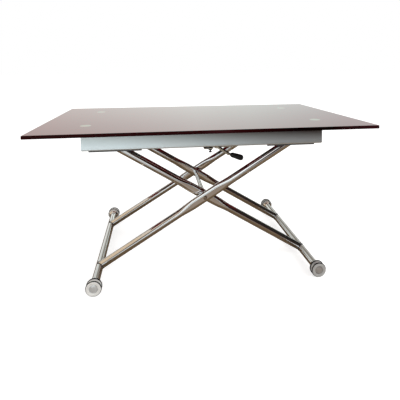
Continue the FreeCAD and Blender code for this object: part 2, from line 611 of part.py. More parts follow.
def make_crossing():
    """The stretcher through the inner legs, and the bolts that carry the outer legs on it."""
    bolts, bushes, threads = [], [], []
    bush_length = "leg_flat_wide + 2 * pivot_bush_proud"
    shank = "outer_face_y + pivot_bush_proud + side_gap - stretcher_end_y + pivot_bolt_depth"
    for end, way in (("front", -1), ("back", 1)):
        start = "stretcher_end_y - pivot_bolt_depth"
        shank_y = start if way > 0 else f"-({start}) - ({shank})"
        head_start = "outer_face_y + pivot_bush_proud + side_gap"
        head_y = head_start if way > 0 else f"-({head_start}) - pivot_head"
        socket_start = f"{head_start} + pivot_head - pivot_socket_depth"
        socket_y = socket_start if way > 0 else f"-({head_start}) - pivot_head"
        bolt = fuse(f"bolt_solid_{end}", rod(f"bolt_shank_{end}", "pivot_bolt_dia", shank, 0, shank_y,
                                             "pivot_z"),
                    rod(f"bolt_head_{end}", "pivot_head_dia", "pivot_head", 0, head_y, "pivot_z"))
        socket = rod(f"bolt_socket_{end}", "pivot_socket_dia", "pivot_socket_depth", 0, socket_y, "pivot_z")
        bolts.append(cut(f"bolt_{end}", bolt, socket))
        bush_y = f"{way} * outer_leg_y - ({bush_length}) / 2"
        bushes.append(tube(f"pivot_bush_{end}", "pivot_bush_dia", "pivot_bolt_dia + 2 * run_gap",
                           bush_length, 0, bush_y, "pivot_z"))
        thread_y = start if way > 0 else "-stretcher_end_y"
        threads.append(rod(f"thread_{end}", "pivot_bolt_dia", "pivot_bolt_depth", 0, thread_y, "pivot_z"))
    bar = rod("stretcher_bar", "stretcher_dia", "2 * stretcher_end_y", 0, "-stretcher_end_y", "pivot_z")
    keep("pivot_stretcher", cut("stretcher", bar, *threads))
    keep("pivot_bolts", group("bolts", *bolts))
    keep("pivot_bushes", group("pivot_bush_group", *bushes))


# Rollers, turned with a recess for a domed cap and two grooves for rubber rings, pressed on an axle

def make_rollers(foot, side):
    x = f"{side} * foot_x"
    rings, caps = [], []
    keep(f"{foot}_axle", rod(f"{foot}_axle_bar", "roller_axle_dia", "2 * bore_end_y", x, "-bore_end_y",
                             "roller_radius"))
    for end, way in (("front", -1), ("back", 1)):
        body = doc.addObject("PartDesign::Body", f"{foot}_roller_{end}_body")
        near, far = "roller_inner_y", "roller_outer_y"
        stem_radius, axle_radius = "cap_stem_dia / 2 + run_gap", "roller_axle_dia / 2"
        half = [(axle_radius, near), ("rim_radius", near), ("rim_radius", far), ("recess_dia / 2", far),
                ("recess_dia / 2", "recess_y"), (stem_radius, "recess_y"), (stem_radius, "stem_floor_y"),
                ("0", "stem_floor_y"), ("0", "bore_end_y"), (axle_radius, "bore_end_y")]
        sketch = outline(body, f"{foot}_roller_{end}_section", "XY_Plane", half)
        turned = body.newObject("PartDesign::Revolution", f"{foot}_roller_{end}_turned")
        turned.Profile = sketch
        turned.ReferenceAxis = (sketch, ["V_Axis"])
        turned.Angle = 360
        doc.recompute()
        rim, edge_ys = value("rim_radius"), (value(near), value(far))
        rim_edges = edges_where(turned.Shape, lambda middle, ends: any(same(middle.y, y) for y in edge_ys)
                                and same((middle.x ** 2 + middle.z ** 2) ** 0.5, rim))
        round_edges(body, f"{foot}_roller_{end}_rounded", turned, rim_edges, "rim_round")
        body.Placement = FreeCAD.Placement(
            FreeCAD.Vector(), FreeCAD.Rotation(FreeCAD.Vector(0, 0, 1), 0 if way > 0 else 180))
        place(body, x, 0, "roller_radius")
        grooves = []
        for spot, ring_y in (("far", "roller_outer_y - ring_inset"), ("near", "roller_inner_y + ring_inset")):
            for kind, pile in (("ring", rings), ("groove", grooves)):
                torus = bind(doc.addObject("Part::Torus", f"{foot}_{kind}_{end}_{spot}"),
                             Radius1="ring_radius", Radius2="ring_thick / 2")
                torus.Placement = FreeCAD.Placement(FreeCAD.Vector(), ALONG["Y"])
                pile.append(place(torus, x, f"{way} * ({ring_y})", "roller_radius"))
        keep(f"{foot}_roller_{end}", cut(f"{foot}_roller_{end}_grooved", body, *grooves))
        caps.append(make_cap(f"{foot}_cap_{end}", x, way))
    keep(f"{foot}_tyre_rings", group(f"{foot}_rings", *rings))
    keep(f"{foot}_roller_caps", group(f"{foot}_caps", *caps))


def make_cap(name, x, way):
    """A domed cap that is plugged into the face of a roller by its stem."""
    ball = bind(doc.addObject("Part::Sphere", name + "_ball"), Radius="dome_radius")
    place(ball, x, f"{way} * (recess_y + cap_edge + cap_rise - dome_radius)", "roller_radius")
    disc = outward_rod(name + "_disc", "cap_dia", "cap_edge + cap_rise", x, "recess_y", "roller_radius", way)
    dome = doc.addObject("Part::Common", name + "_dome")
    dome.Base = ball
    dome.Tool = disc
    stem = outward_rod(name + "_stem", "cap_stem_dia", "cap_stem", x, "recess_y - cap_stem", "roller_radius",
                       way)
    return fuse(name, dome, stem)


# Sliding top axle of the inner legs, and the gas spring that it pulls

def make_slide():
    keep("slide_axle", rod("slide_axle_bar", "axle_dia", "2 * slide_end_y", "-axle_x", "-slide_end_y",
                           "axle_z"))
    blocks, spacers = [], []
    block_width = "track_lip - 2 * block_side_gap"
    spacer_start = "inner_leg_y + sleeve_length / 2 + side_gap"
    spacer = f"plate_y - track_lip + block_side_gap - ({spacer_start})"
    for end, way in (("front", -1), ("back", 1)):
        y = "-plate_y + block_side_gap" if way < 0 else f"plate_y - block_side_gap - ({block_width})"
        body = block(f"slide_block_{end}_body", "block_length", block_width, "block_height",
                     "-axle_x - block_length / 2", y, "axle_z - block_height / 2")
        bore_y = "-slide_end_y" if way < 0 else y
        bore_length = f"slide_end_y - plate_y + block_side_gap + ({block_width})"
        bore = rod(f"slide_bore_{end}", "axle_dia", bore_length, "-axle_x", bore_y, "axle_z")
        blocks.append(cut(f"slide_block_{end}", body, bore))
        y = spacer_start if way > 0 else f"-({spacer_start}) - ({spacer})"
        spacers.append(tube(f"slide_spacer_{end}", "spacer_dia", "axle_dia", spacer, "-axle_x", y,
                            "axle_z"))
    keep("slide_blocks", group("slide_block_group", *blocks))
    keep("slide_spacers", group("slide_spacer_group", *spacers))

    eye = rod("eye_ring", "eye_dia", "eye_width", "-axle_x", "-eye_width / 2", "axle_z")
    neck = rod("eye_neck", "eye_neck_dia", "eye_neck_reach", "-axle_x", 0, "axle_z", "X")
    axle_hole = rod("eye_hole", "axle_dia", "eye_width", "-axle_x", "-eye_width / 2", "axle_z")
    rod_hole = rod("eye_rod_hole", "rod_dia", "eye_neck_reach - rod_start", "-axle_x + rod_start", 0,
                   "axle_z", "X")
    keep("rod_eye", cut("eye", fuse("eye_solid", eye, neck), axle_hole, rod_hole))
    bar = rod("rod_bar", "rod_dia", "piston_x + axle_x - rod_start", "-axle_x + rod_start", 0, "axle_z", "X")
    piston = rod("rod_piston", "gas_bore - 2 * piston_gap", "piston_length",
                 "piston_x - piston_length / 2", 0, "axle_z", "X")
    keep("gas_rod", fuse("rod_solid", bar, piston))


def make_gas_spring():
    length = "gas_right_x - gas_left_x"
    outside = rod("cylinder_outside", "gas_dia", length, "gas_left_x", 0, "axle_z", "X")
    bore = rod("cylinder_bore", "gas_bore", f"{length} - gas_end_wall", "gas_left_x", 0, "axle_z", "X")
    stud = rod("cylinder_stud", "stud_dia", "stud_end_x - gas_right_x", "gas_right_x", 0, "axle_z", "X")
    valve_start = "gas_right_x - gas_end_wall"
    valve_bore = rod("cylinder_valve_bore", "valve_dia + 2 * run_gap", f"stud_end_x - ({valve_start})",
                     valve_start, 0, "axle_z", "X")
    keep("gas_cylinder", cut("cylinder", fuse("cylinder_solid", outside, stud), bore, valve_bore))
    keep("gas_gland", tube("gland", "gas_bore", "rod_dia + 2 * run_gap", "gland_length", "gas_left_x", 0,
                           "axle_z", "X"))
    clamps = []
    for label, x, hole in (("left", "clamp_left_x", "gas_dia"), ("right", "clamp_right_x", "stud_dia")):
        start = f"{x} - clamp_wall / 2"
        plate = block(f"clamp_{label}_plate", "clamp_wall", "clamp_width",
                      "cross_top - cross_wall - axle_z + clamp_below",
                      start, "-clamp_width / 2", "axle_z - clamp_below")
        bore = rod(f"clamp_{label}_hole", hole, "clamp_wall", start, 0, "axle_z", "X")
        clamps.append(cut(f"clamp_{label}", plate, bore))
    keep("cylinder_clamps", group("clamps", *clamps))
    nut = doc.addObject("Part::Prism", "stud_nut_body")
    nut.Polygon = 6
    bind(nut, Circumradius="nut_dia / 2", Height="nut_height")
    nut.Placement = FreeCAD.Placement(FreeCAD.Vector(), ALONG["X"])
    place(nut, "clamp_right_x + clamp_wall / 2", 0, "axle_z")
    nut_hole = rod("stud_nut_hole", "stud_dia", "nut_height", "clamp_right_x + clamp_wall / 2", 0, "axle_z",
                   "X")
    keep("gas_stud_nut", cut("stud_nut", nut, nut_hole))
    tip = "shaft_x - paddle_thick / 2 - side_gap"
    keep("valve_pin", rod("valve_bar", "valve_dia", f"{tip} - stud_end_x + valve_inside",
                          "stud_end_x - valve_inside", 0, "axle_z", "X"))


# Release lever under the front rail, with its shaft, paddle, bracket and stop screw

def make_lever():
    web_y = "lever_y + bracket_back"
    web = block("bracket_web", "bracket_left + bracket_right", "plate_wall",
                "cross_bottom - bracket_bottom", "shaft_x - bracket_left", web_y, "bracket_bottom")
    foot = block("bracket_foot_plate", "bracket_left - bracket_foot_gap", f"plate_y + {web_y}", "plate_wall",
                 "shaft_x - bracket_left", "-plate_y", "bracket_bottom")
    lug = block("bracket_lug_plate", "bracket_lug", "plate_wall",
                "frame_bottom + bracket_lug_above - bracket_bottom",
                "shaft_x - bracket_left", "-flange_y", "bracket_bottom")
    hole = rod("bracket_hole", "shaft_dia + 2 * run_gap", "plate_wall", "shaft_x", web_y, "shaft_z")
    stop_hole = rod("bracket_stop_hole", "stop_dia", "plate_wall", "stop_x", "lever_y", "bracket_bottom",
                    "Z")
    pin = rod("bracket_pin", "rest_pin_dia", "bracket_back + lever_thick / 2 + side_gap", "stop_x",
              "lever_y - lever_thick / 2 - side_gap",
              "shaft_z + tail_above + tail_tall / 2 + side_gap + rest_pin_dia / 2")
    keep("lever_bracket", cut("bracket", fuse("bracket_solid", web, foot, lug, pin), hole, stop_hole))

    shank = rod("stop_shank", "stop_dia", "stop_reach + plate_wall + stop_tip", "stop_x", "lever_y",
                "bracket_bottom - stop_reach", "Z")
    flange = rod("stop_flange", "stop_foot_dia", "stop_foot", "stop_x", "lever_y",
                 "bracket_bottom - stop_reach", "Z")
    keep("stop_screw", fuse("stop_solid", shank, flange))

    bearing_bottom = "shaft_z - bearing_below"
    plate = block("bearing_plate", "cross_width - 2 * cross_wall", "bearing_wall",
                  f"cross_top - cross_wall - ({bearing_bottom})",
                  "cross_mid_x - cross_width / 2 + cross_wall",
                  "bearing_y - bearing_wall / 2", bearing_bottom)
    bore = rod("bearing_bore", "shaft_dia + 2 * run_gap", "bearing_wall", "shaft_x",
               "bearing_y - bearing_wall / 2", "shaft_z")
    keep("shaft_bearing", cut("bearing", plate, bore))

    shaft_start = "lever_y - lever_hub_width / 2 - shaft_proud"
    keep("release_shaft", rod("shaft_bar", "shaft_dia", f"paddle_width / 2 - ({shaft_start})", "shaft_x",
                              shaft_start, "shaft_z"))
    hub = rod("paddle_hub", "shaft_hub_dia", "paddle_width", "shaft_x", "-paddle_width / 2", "shaft_z")
    arm = block("paddle_arm", "paddle_thick", "paddle_width", "shaft_below + paddle_proud",
                "shaft_x - paddle_thick / 2", "-paddle_width / 2", "shaft_z")
    hole = rod("paddle_hole", "shaft_dia", "paddle_width", "shaft_x", "-paddle_width / 2", "shaft_z")
    keep("release_paddle", cut("paddle", fuse("paddle_solid", hub, arm), hole))

    side = "lever_y - lever_thick / 2"
    hub = rod("lever_hub", "shaft_hub_dia", "lever_hub_width", "shaft_x", "lever_y - lever_hub_width / 2",
              "shaft_z")
    run = block("lever_run_bar", "lever_run", "lever_thick", "lever_tall", 0, 0, 0)
    tilt(run, "lever_slope")
    place(run, "shaft_x - lever_tall / 2 * sin(lever_slope)", side,
          "shaft_z - lever_tall / 2 * cos(lever_slope)")
    knee = rod("lever_knee", "lever_tall", "lever_thick", "bend_x", side, "bend_z")
    tang = block("lever_tang", "tang_length", "lever_thick", "tang_tall", 0, 0, 0)
    tilt(tang, "grip_slope")
    place(tang, "bend_x - tang_tall / 2 * sin(grip_slope)", side,
          "bend_z - tang_tall / 2 * cos(grip_slope)")
    tail = block("lever_tail", "tail_length", "lever_thick", "tail_tall", "shaft_x - tail_length", side,
                 "shaft_z + tail_above - tail_tall / 2")
    hole = rod("lever_hole", "shaft_dia", "lever_hub_width", "shaft_x", "lever_y - lever_hub_width / 2",
               "shaft_z")
    bar = cut("lever", fuse("lever_solid", hub, run, knee, tang, tail), hole)
    keep("lever_bar", bar)

    body = doc.addObject("PartDesign::Body", "grip_body")
    half = [("grip_start", "0"), ("grip_start", "grip_thin_dia / 2"),
            ("grip_start + grip_shoulder", "grip_shoulder_dia / 2"), ("grip_end", "grip_thick_dia / 2"),
            ("grip_end", "0")]
    sketch = outline(body, "grip_section", "XZ_Plane", half)
    turned = body.newObject("PartDesign::Revolution", "grip_turned")
    turned.Profile = sketch
    turned.ReferenceAxis = (sketch, ["H_Axis"])
    turned.Angle = 360
    doc.recompute()
    widest, end_x = value("grip_thick_dia / 2"), value("grip_end")
    end_edges = edges_where(turned.Shape, lambda middle, ends: same(middle.x, end_x)
                            and same((middle.y ** 2 + middle.z ** 2) ** 0.5, widest))
    round_edges(body, "grip_rounded", turned, end_edges, "grip_round")
    tilt(body, "grip_slope")
    place(body, "bend_x", "lever_y", "bend_z")
    keep("lever_grip", cut("grip", body, bar))


def check_and_write():
    """Every object has to be sound before any piece is written."""
    doc.recompute()
    for item in doc.Objects:
        if "Invalid" in item.State or "Error" in item.State:
            raise ValueError(f"{item.Name} failed: {item.State}")
    for item in nodes:
        if item.Shape.isNull() or not item.Shape.isValid() or not item.Shape.Solids:
            raise ValueError(f"{item.Label} is not a sound solid")
    os.makedirs("parts", exist_ok=True)
    for item in nodes:
        item.Shape.exportStep(os.path.join("parts", item.Label + ".step"))


fill_sheet()
make_top()
make_apron()
make_tracks()
make_leg_set("outer", "left", -1, "outer_leg_y", "pivot_bush_dia")
make_leg_set("inner", "right", 1, "inner_leg_y", "stretcher_dia")
make_crossing()
make_rollers("left", -1)
make_rollers("right", 1)
make_slide()
make_gas_spring()
make_lever()
check_and_write()
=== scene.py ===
"""A lift-top table: burgundy lacquered glass on a silver frame, with crossed chrome legs on rollers."""
import json
import math

import bmesh
import bpy
from mathutils import Matrix, Vector


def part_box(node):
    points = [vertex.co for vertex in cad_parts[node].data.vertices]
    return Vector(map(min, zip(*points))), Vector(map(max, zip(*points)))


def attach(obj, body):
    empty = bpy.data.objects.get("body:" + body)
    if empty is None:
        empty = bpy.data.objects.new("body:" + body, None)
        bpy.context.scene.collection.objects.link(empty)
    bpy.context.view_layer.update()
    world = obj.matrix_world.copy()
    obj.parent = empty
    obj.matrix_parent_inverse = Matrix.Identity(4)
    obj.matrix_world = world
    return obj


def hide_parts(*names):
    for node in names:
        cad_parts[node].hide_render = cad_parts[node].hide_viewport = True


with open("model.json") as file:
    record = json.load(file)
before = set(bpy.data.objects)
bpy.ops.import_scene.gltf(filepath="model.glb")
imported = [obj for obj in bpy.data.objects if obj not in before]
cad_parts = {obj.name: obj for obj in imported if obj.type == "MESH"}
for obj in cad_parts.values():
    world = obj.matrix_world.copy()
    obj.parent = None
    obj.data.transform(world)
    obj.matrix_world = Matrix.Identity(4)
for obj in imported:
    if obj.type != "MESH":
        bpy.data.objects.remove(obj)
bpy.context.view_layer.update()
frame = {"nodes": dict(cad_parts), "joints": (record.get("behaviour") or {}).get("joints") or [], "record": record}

JOINTS = {joint["name"]: joint for joint in frame["joints"]}

# Sizes in metres and angles in degrees, beside what the frame gives. A pair is a height and a width

GLASS_CORNER = 0.0025
GLASS_ARRIS = 0.0015
LEG_DIA = 0.029
LEG_FLAT = (0.037, 0.0192)
LEG_TOP = (0.032, 0.026)
LEG_FLAT_HALF = 0.045
LEG_BLEND = 0.075
LEG_START = 0.006
LEG_STEP = 0.006
BAR_DIA = 0.028
SLEEVE_DIA = 0.030
WELD_BEAD = 0.0018
HUB_RIM = 0.004
HUB_TUCK = 0.002
HUB_TUCK_LENGTH = 0.001
RIM_BELOW_RING = 0.0022
RIM_ROUND = 0.0012
RING_THICK = 0.0046
RING_INSET = 0.0038
RECESS_DIA = 0.030
RECESS_DEPTH = 0.0037
CAP_DIA = 0.0294
CAP_EDGE = 0.0015
CAP_RISE = 0.0032
CAP_STEM_DIA = 0.006
CAP_STEM_LENGTH = 0.0025
AXLE_BORE_DIA = 0.0102
BOLT_HEAD_DIA = 0.015
BOLT_HEAD = 0.0045
BOLT_RIM = 0.001
BOLT_DIA = 0.010
BOLT_SUNK = 0.001
BOLT_SOCKET = 0.006
BOLT_SOCKET_DEPTH = 0.0025
BOLT_SOCKET_EDGE = 0.0003
BOLT_SOCKET_FLAT = 0.0012
LEVER_RUN = 0.057
LEVER_SLOPE = 34
GRIP_SLOPE = 19
GRIP_START = 0.008
GRIP_LENGTH = 0.052
GRIP_CORE = 0.0005
GRIP_THIN = 0.013
GRIP_COLLAR = 0.0015
GRIP_SHOULDER = 0.010
GRIP_SHOULDER_DIA = 0.019
GRIP_THICK = 0.022
GRIP_ROUND = 0.0105
GRIP_ROUND_START = 5
LUG_SCREW_DIA = 0.0095
LUG_SCREW_HEIGHT = 0.0042
LUG_SCREW_SOCKET = 0.005
LUG_SCREW_INSET = 0.0125
LOCK_NUT_ACROSS = 0.013
LOCK_NUT_HEIGHT = 0.0055
SMALL_EDGE = 0.0004
AXIS_RADIUS = 0.0003

# Powers and shares that shape a piece, and counts of steps

ROUND_POWER = 2.0
LEG_FLAT_POWER = 3.0
HUB_FLARE_POWER = 1.4
GRIP_SWELL_POWER = 1.2
SOCKET_TAPER = 0.98
LUG_SOCKET_SHARE = 0.7
NUT_CHAMFER = 0.9
POLE_GAP = 0.1
LEVEL_RISE = 0.99
ROUND_STEPS = 72
ROLLER_STEPS = 96
RING_STEPS = 24
GROOVE_STEPS = 20
GRIP_END_STEPS = 16
WELD_STEPS = 12
CURVE_STEPS = 12
CORNER_STEPS = 8
EDGE_STEPS = 4

# Places and widths of the finishes and of the painted shade in metres. A pair is a start and an end

DISC_RADIUS = 0.020
WINDOW_BORDER = (DISC_RADIUS - 0.0006, DISC_RADIUS + 0.0002)
GLASS_EDGE_SHADE_X = (0.1, 0.3)
APRON_SHADE_X = (-0.4, 0.4)
APRON_SHADE_Z = (0.488, 0.522)
BRACKET_SHADE_DROP = 0.009
BRACKET_SHADE_BLUR = 0.0005
LEVER_SHADE_BLUR = 0.0015
LATHE_PITCH = 0.0006

# The photograph's camera: pixels of its 400 by 400 frame, metres, degrees, and its sensor in millimetres

PHOTO_SIDE = 400
FOCAL_PIXELS = 355.55
CENTRE_PIXEL = (200.85, 83.99)
CAMERA_PLACE = (-0.1853, -1.5026, 0.7741)
CAMERA_YAW = 7.403
CAMERA_PITCH = 3.061
CAMERA_ROLL = -0.358
SENSOR = 36.0


def joint_place(name):
    """Where a joint is at rest."""
    return Vector(JOINTS[name]["pos_m"])


LEFT_FOOT = joint_place("lift")
RIGHT_FOOT = joint_place("right_roll")
CROSSING = joint_place("inner_fold")
RIGHT_TOP = joint_place("top_level")
LEFT_TOP = joint_place("slide_level")
LEVER_SHAFT = joint_place("lever_pull")
ACROSS = Vector((0, 1, 0))
UP = Vector((0, 0, 1))


# Materials

def shader(name):
    """A new material, with its node tree and its surface shader."""
    material = bpy.data.materials.new(name)
    material.use_nodes = True
    tree = material.node_tree
    return material, tree, tree.nodes["Principled BSDF"]


def node(tree, kind, **settings):
    """A new node of a kind, with its settings."""
    item = tree.nodes.new(kind)
    for name, value in settings.items():
        setattr(item, name, value)
    return item


def own_place(tree):
    """X, Y and Z of a point in the object's own coordinates."""
    place = node(tree, "ShaderNodeTexCoord")
    apart = node(tree, "ShaderNodeSeparateXYZ")
    tree.links.new(place.outputs["Object"], apart.inputs["Vector"])
    return apart.outputs["X"], apart.outputs["Y"], apart.outputs["Z"]


def noise(tree, scale, detail=4.0, roughness=0.55, stretch=(1, 1, 1)):
    """Noise in the object's own coordinates, in cycles per metre."""
    place = node(tree, "ShaderNodeTexCoord")
    mapping = node(tree, "ShaderNodeMapping")
    mapping.inputs["Scale"].default_value = stretch
    texture = node(tree, "ShaderNodeTexNoise")
    texture.inputs["Scale"].default_value = scale
    texture.inputs["Detail"].default_value = detail
    texture.inputs["Roughness"].default_value = roughness
    tree.links.new(place.outputs["Object"], mapping.inputs["Vector"])
    tree.links.new(mapping.outputs["Vector"], texture.inputs["Vector"])
    return texture.outputs["Fac"]


def spread(tree, value, low, high, start=0.3, end=0.7):
    """A value between start and end, spread from low to high."""
    item = node(tree, "ShaderNodeMapRange")
    item.inputs["From Min"].default_value = start
    item.inputs["From Max"].default_value = end
    item.inputs["To Min"].default_value = low
    item.inputs["To Max"].default_value = high
    tree.links.new(value, item.inputs["Value"])
    return item.outputs["Result"]


def mix(tree, share, first, second):
    """A colour between two, each a constant or another socket."""
    item = node(tree, "ShaderNodeMix", data_type="RGBA")
    tree.links.new(share, item.inputs["Factor"])
    for name, colour in (("A", first), ("B", second)):
        socket = next(s for s in item.inputs if s.name == name and s.type == "RGBA")
        if isinstance(colour, tuple):
            socket.default_value = (*colour, 1)
        else:
            tree.links.new(colour, socket)
    return next(s for s in item.outputs if s.type == "RGBA")


def maths(tree, operation, *values):
    """The result of an operation on values, each a constant or another socket."""
    item = node(tree, "ShaderNodeMath", operation=operation)
    for socket, value in zip(item.inputs, values):
        if isinstance(value, (int, float)):
            socket.default_value = value
        else:
            tree.links.new(value, socket)
    return item.outputs["Value"]


def far_from(tree, first, second):
    """Distance of a point from the middle, in a plane of two coordinates."""
    squares = [maths(tree, "MULTIPLY", part, part) for part in (first, second)]
    return maths(tree, "SQRT", maths(tree, "ADD", *squares))


def coat(tree, surface, colour, roughness):
    """Gives a surface a colour and a roughness that vary over it."""
    tree.links.new(colour, surface.inputs["Base Color"])
    tree.links.new(roughness, surface.inputs["Roughness"])


def bump(tree, surface, height, strength, distance):
    """Gives a surface a fine relief."""
    item = node(tree, "ShaderNodeBump")
    item.inputs["Strength"].default_value = strength
    item.inputs["Distance"].default_value = distance
    tree.links.new(height, item.inputs["Height"])
    tree.links.new(item.outputs["Normal"], surface.inputs["Normal"])


def metal(name, colour, rough, smudge, grain_scale, grain_depth, stretch=(1, 1, 1), tint=0.06,
          metallic=1.0):
    """A metal with cloudy smudges in its roughness and a fine grain in its surface."""
    material, tree, surface = shader(name)
    surface.inputs["Metallic"].default_value = metallic
    darker = tuple(part * (1 - tint) for part in colour)
    cloud = spread(tree, noise(tree, scale=14.0), 0, 1)
    smudges = spread(tree, noise(tree, scale=38.0), rough - smudge, rough + smudge)
    coat(tree, surface, mix(tree, cloud, darker, colour), smudges)
    grain = noise(tree, grain_scale, detail=2.0, roughness=0.5, stretch=stretch)
    bump(tree, surface, grain, strength=0.25, distance=grain_depth)
    return material


def plastic(name, colour, rough, grain_scale, grain_depth, gloss=0.5):
    """A moulded surface with a faint mottle and a fine grain."""
    gain, lift, smudge = 1.6, 0.002, 0.06
    material, tree, surface = shader(name)
    surface.inputs["Specular IOR Level"].default_value = gloss
    lighter = tuple(part * gain + lift for part in colour)
    mottle = spread(tree, noise(tree, scale=55.0), 0, 1)
    smudges = spread(tree, noise(tree, scale=90.0), rough - smudge, rough + smudge)
    coat(tree, surface, mix(tree, mottle, colour, lighter), smudges)
    bump(tree, surface, noise(tree, grain_scale, detail=3.0), strength=0.3, distance=grain_depth)
    return material


def lacquered_glass():
    """The upper face of the glass over its lacquer, with four bare windows over the discs."""
    deep, light, disc = (0.115, 0.010, 0.014), (0.135, 0.013, 0.018), (0.27, 0.28, 0.21)
    material, tree, surface = shader("lacquered_glass")
    surface.inputs["IOR"].default_value = 1.52
    x, y, _ = own_place(tree)
    _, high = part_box("glass_pads")
    from_x = maths(tree, "SUBTRACT", maths(tree, "ABSOLUTE", x), high.x - DISC_RADIUS)
    from_y = maths(tree, "SUBTRACT", maths(tree, "ABSOLUTE", y), high.y - DISC_RADIUS)
    window = spread(tree, far_from(tree, from_x, from_y), 1, 0, *WINDOW_BORDER)
    lacquer = mix(tree, spread(tree, noise(tree, scale=3.0), 0, 1), deep, light)
    roughness = spread(tree, noise(tree, scale=7.0), low=0.012, high=0.035)
    coat(tree, surface, mix(tree, window, lacquer, disc), roughness)
    return material


def glass_edge():
    """The ground edge of the glass, dark from the lacquer behind it, with painted shade that makes it darkest at
    the right.
    """
    left, right, streak = (0.012, 0.0003, 0.0004), (0.0015, 0.0, 0.0), (0.030, 0.006, 0.008)
    material, tree, surface = shader("glass_edge")
    surface.inputs["Specular IOR Level"].default_value = 0.03
    x, _, _ = own_place(tree)
    # Painted shade: the edge's colour darkens from left to right
    deep = mix(tree, spread(tree, x, 0, 1, *GLASS_EDGE_SHADE_X), left, right)
    streaks = noise(tree, scale=5.0, detail=2.0, roughness=0.5, stretch=(1, 1, 0.1))
    colour = mix(tree, spread(tree, streaks, 0, 1, start=0.52, end=0.75), deep, streak)
    coat(tree, surface, colour, spread(tree, noise(tree, scale=60.0), low=0.08, high=0.20))
    return material


def silver_paint():
    """Satin silver coat with a fine sparkle, a little cloudy, with painted shade close under the glass that grows
    darker towards the right.
    """
    grey, pale, fleck = (0.72, 0.79, 0.82), (0.80, 0.87, 0.90), (0.92, 0.95, 0.96)
    painted_shade_left, painted_shade_right = (0.52, 0.56, 0.56), (0.13, 0.11, 0.10)
    material, tree, surface = shader("silver_paint")
    surface.inputs["Metallic"].default_value = 0.95
    x, _, z = own_place(tree)
    cloud = noise(tree, scale=9.0, detail=5.0, roughness=0.6, stretch=(0.5, 1, 1.4))
    base = mix(tree, spread(tree, cloud, 0, 1, start=0.35, end=0.65), grey, pale)
    flecks = noise(tree, scale=2600.0, detail=1.0, roughness=0.4)
    sparkle = spread(tree, flecks, low=0, high=0.5, start=0.45, end=0.75)
    # Painted shade: the coat darkens close under the glass, and more so towards the right
    painted_shade = mix(tree, spread(tree, x, 0, 1, *APRON_SHADE_X), painted_shade_left, painted_shade_right)
    shade_under_glass = spread(tree, z, 0, 1, *APRON_SHADE_Z)
    colour = mix(tree, shade_under_glass, mix(tree, sparkle, base, fleck), painted_shade)
    coat(tree, surface, colour, spread(tree, cloud, low=0.30, high=0.38))
    bump(tree, surface, noise(tree, scale=420.0, detail=2.0), strength=0.12, distance=0.0004)
    return material


def turned_metal(name, light):
    """Satin metal with the fine rings that a lathe leaves about an object's own Y axis."""
    dark_share, light_share = (0.9, 0.9, 0.88), (1, 1, 0.98)
    material, tree, surface = shader(name)
    surface.inputs["Metallic"].default_value = 0.5
    x, _, z = own_place(tree)
    rings = maths(tree, "SINE", maths(tree, "MULTIPLY", far_from(tree, x, z), 2 * math.pi / LATHE_PITCH))
    darker, lighter = (tuple(light * part for part in share) for share in (dark_share, light_share))
    colour = mix(tree, spread(tree, noise(tree, scale=60.0), 0, 1), darker, lighter)
    coat(tree, surface, colour, spread(tree, noise(tree, scale=120.0), low=0.36, high=0.48))
    bump(tree, surface, rings, strength=0.12, distance=0.00005)
    return material


def shaded_steel(name, slope, start, end):
    """Brown steel with painted shade on its upper side. slope turns the border of the painted shade down to the
    right, in degrees.
    """
    deep, light, dark = (0.46, 0.37, 0.28), (0.54, 0.45, 0.35), (0.012, 0.008, 0.008)
    material, tree, surface = shader(name)
    surface.inputs["Metallic"].default_value = 1.0
    x, _, z = own_place(tree)
    across = maths(tree, "MULTIPLY", x, math.sin(math.radians(slope)))
    upward = maths(tree, "MULTIPLY", z, math.cos(math.radians(slope)))
    # Painted shade: the steel turns dark above a sloped border
    upper = spread(tree, maths(tree, "ADD", across, upward), 0, 1, start, end)
    brown = mix(tree, spread(tree, noise(tree, scale=40.0), 0, 1), deep, light)
    roughness = spread(tree, noise(tree, scale=38.0), low=0.20, high=0.30)
    coat(tree, surface, mix(tree, upper, brown, dark), roughness)
    return material


MATERIALS = {
    "lacquered_glass": lacquered_glass(),
    "silver_paint": silver_paint(),
    "dark_steel": metal("dark_steel", (0.060, 0.060, 0.064), rough=0.42, smudge=0.06,
                        grain_scale=700.0, grain_depth=0.0002, metallic=0.3),
    "chrome": metal("chrome", (0.84, 0.84, 0.85), rough=0.05, smudge=0.02,
                    grain_scale=25.0, grain_depth=0.000004, tint=0.03),
    "satin_metal": turned_metal("turned_metal", light=0.93),
    "black_rubber": plastic("black_rubber", (0.003, 0.003, 0.003), rough=0.70,
                            grain_scale=900.0, grain_depth=0.0002, gloss=0.06),
    "bright_steel": metal("bright_steel", (0.40, 0.33, 0.26), rough=0.30, smudge=0.06,
                          grain_scale=300.0, grain_depth=0.0002, stretch=(1, 12, 12)),
    "nylon": plastic("nylon", (0.030, 0.030, 0.031), rough=0.48, grain_scale=600.0, grain_depth=0.0002),
    "black_paint": metal("black_paint", (0.018, 0.018, 0.019), rough=0.22, smudge=0.05,
                         grain_scale=200.0, grain_depth=0.0001, metallic=0.0),
    "black_plastic": plastic("black_plastic", (0.004, 0.004, 0.004), rough=0.30,
                             grain_scale=800.0, grain_depth=0.0002, gloss=0.3),
}
# A darker copy of the turned metal: painted shade for the rollers on the right
SHADED_TURNED_METAL = turned_metal("shaded_turned_metal", light=0.50)
# The caps on the right are a darker copy of the cap metal: painted shade
CAP_METAL = {
    "left": metal("cap_metal", (0.66, 0.67, 0.67), rough=0.18, smudge=0.04,
                  grain_scale=200.0, grain_depth=0.00005, metallic=0.55),
    "right": metal("shaded_cap_metal", (0.40, 0.38, 0.36), rough=0.18, smudge=0.04,
                   grain_scale=200.0, grain_depth=0.00005, metallic=0.60),
}
SLOT_OF = {part["node"]: part["material_slot"] for part in frame["record"]["subparts"]}
BODY_OF = {name: body for body, names in frame["record"]["behaviour"]["bodies"].items() for name in names}


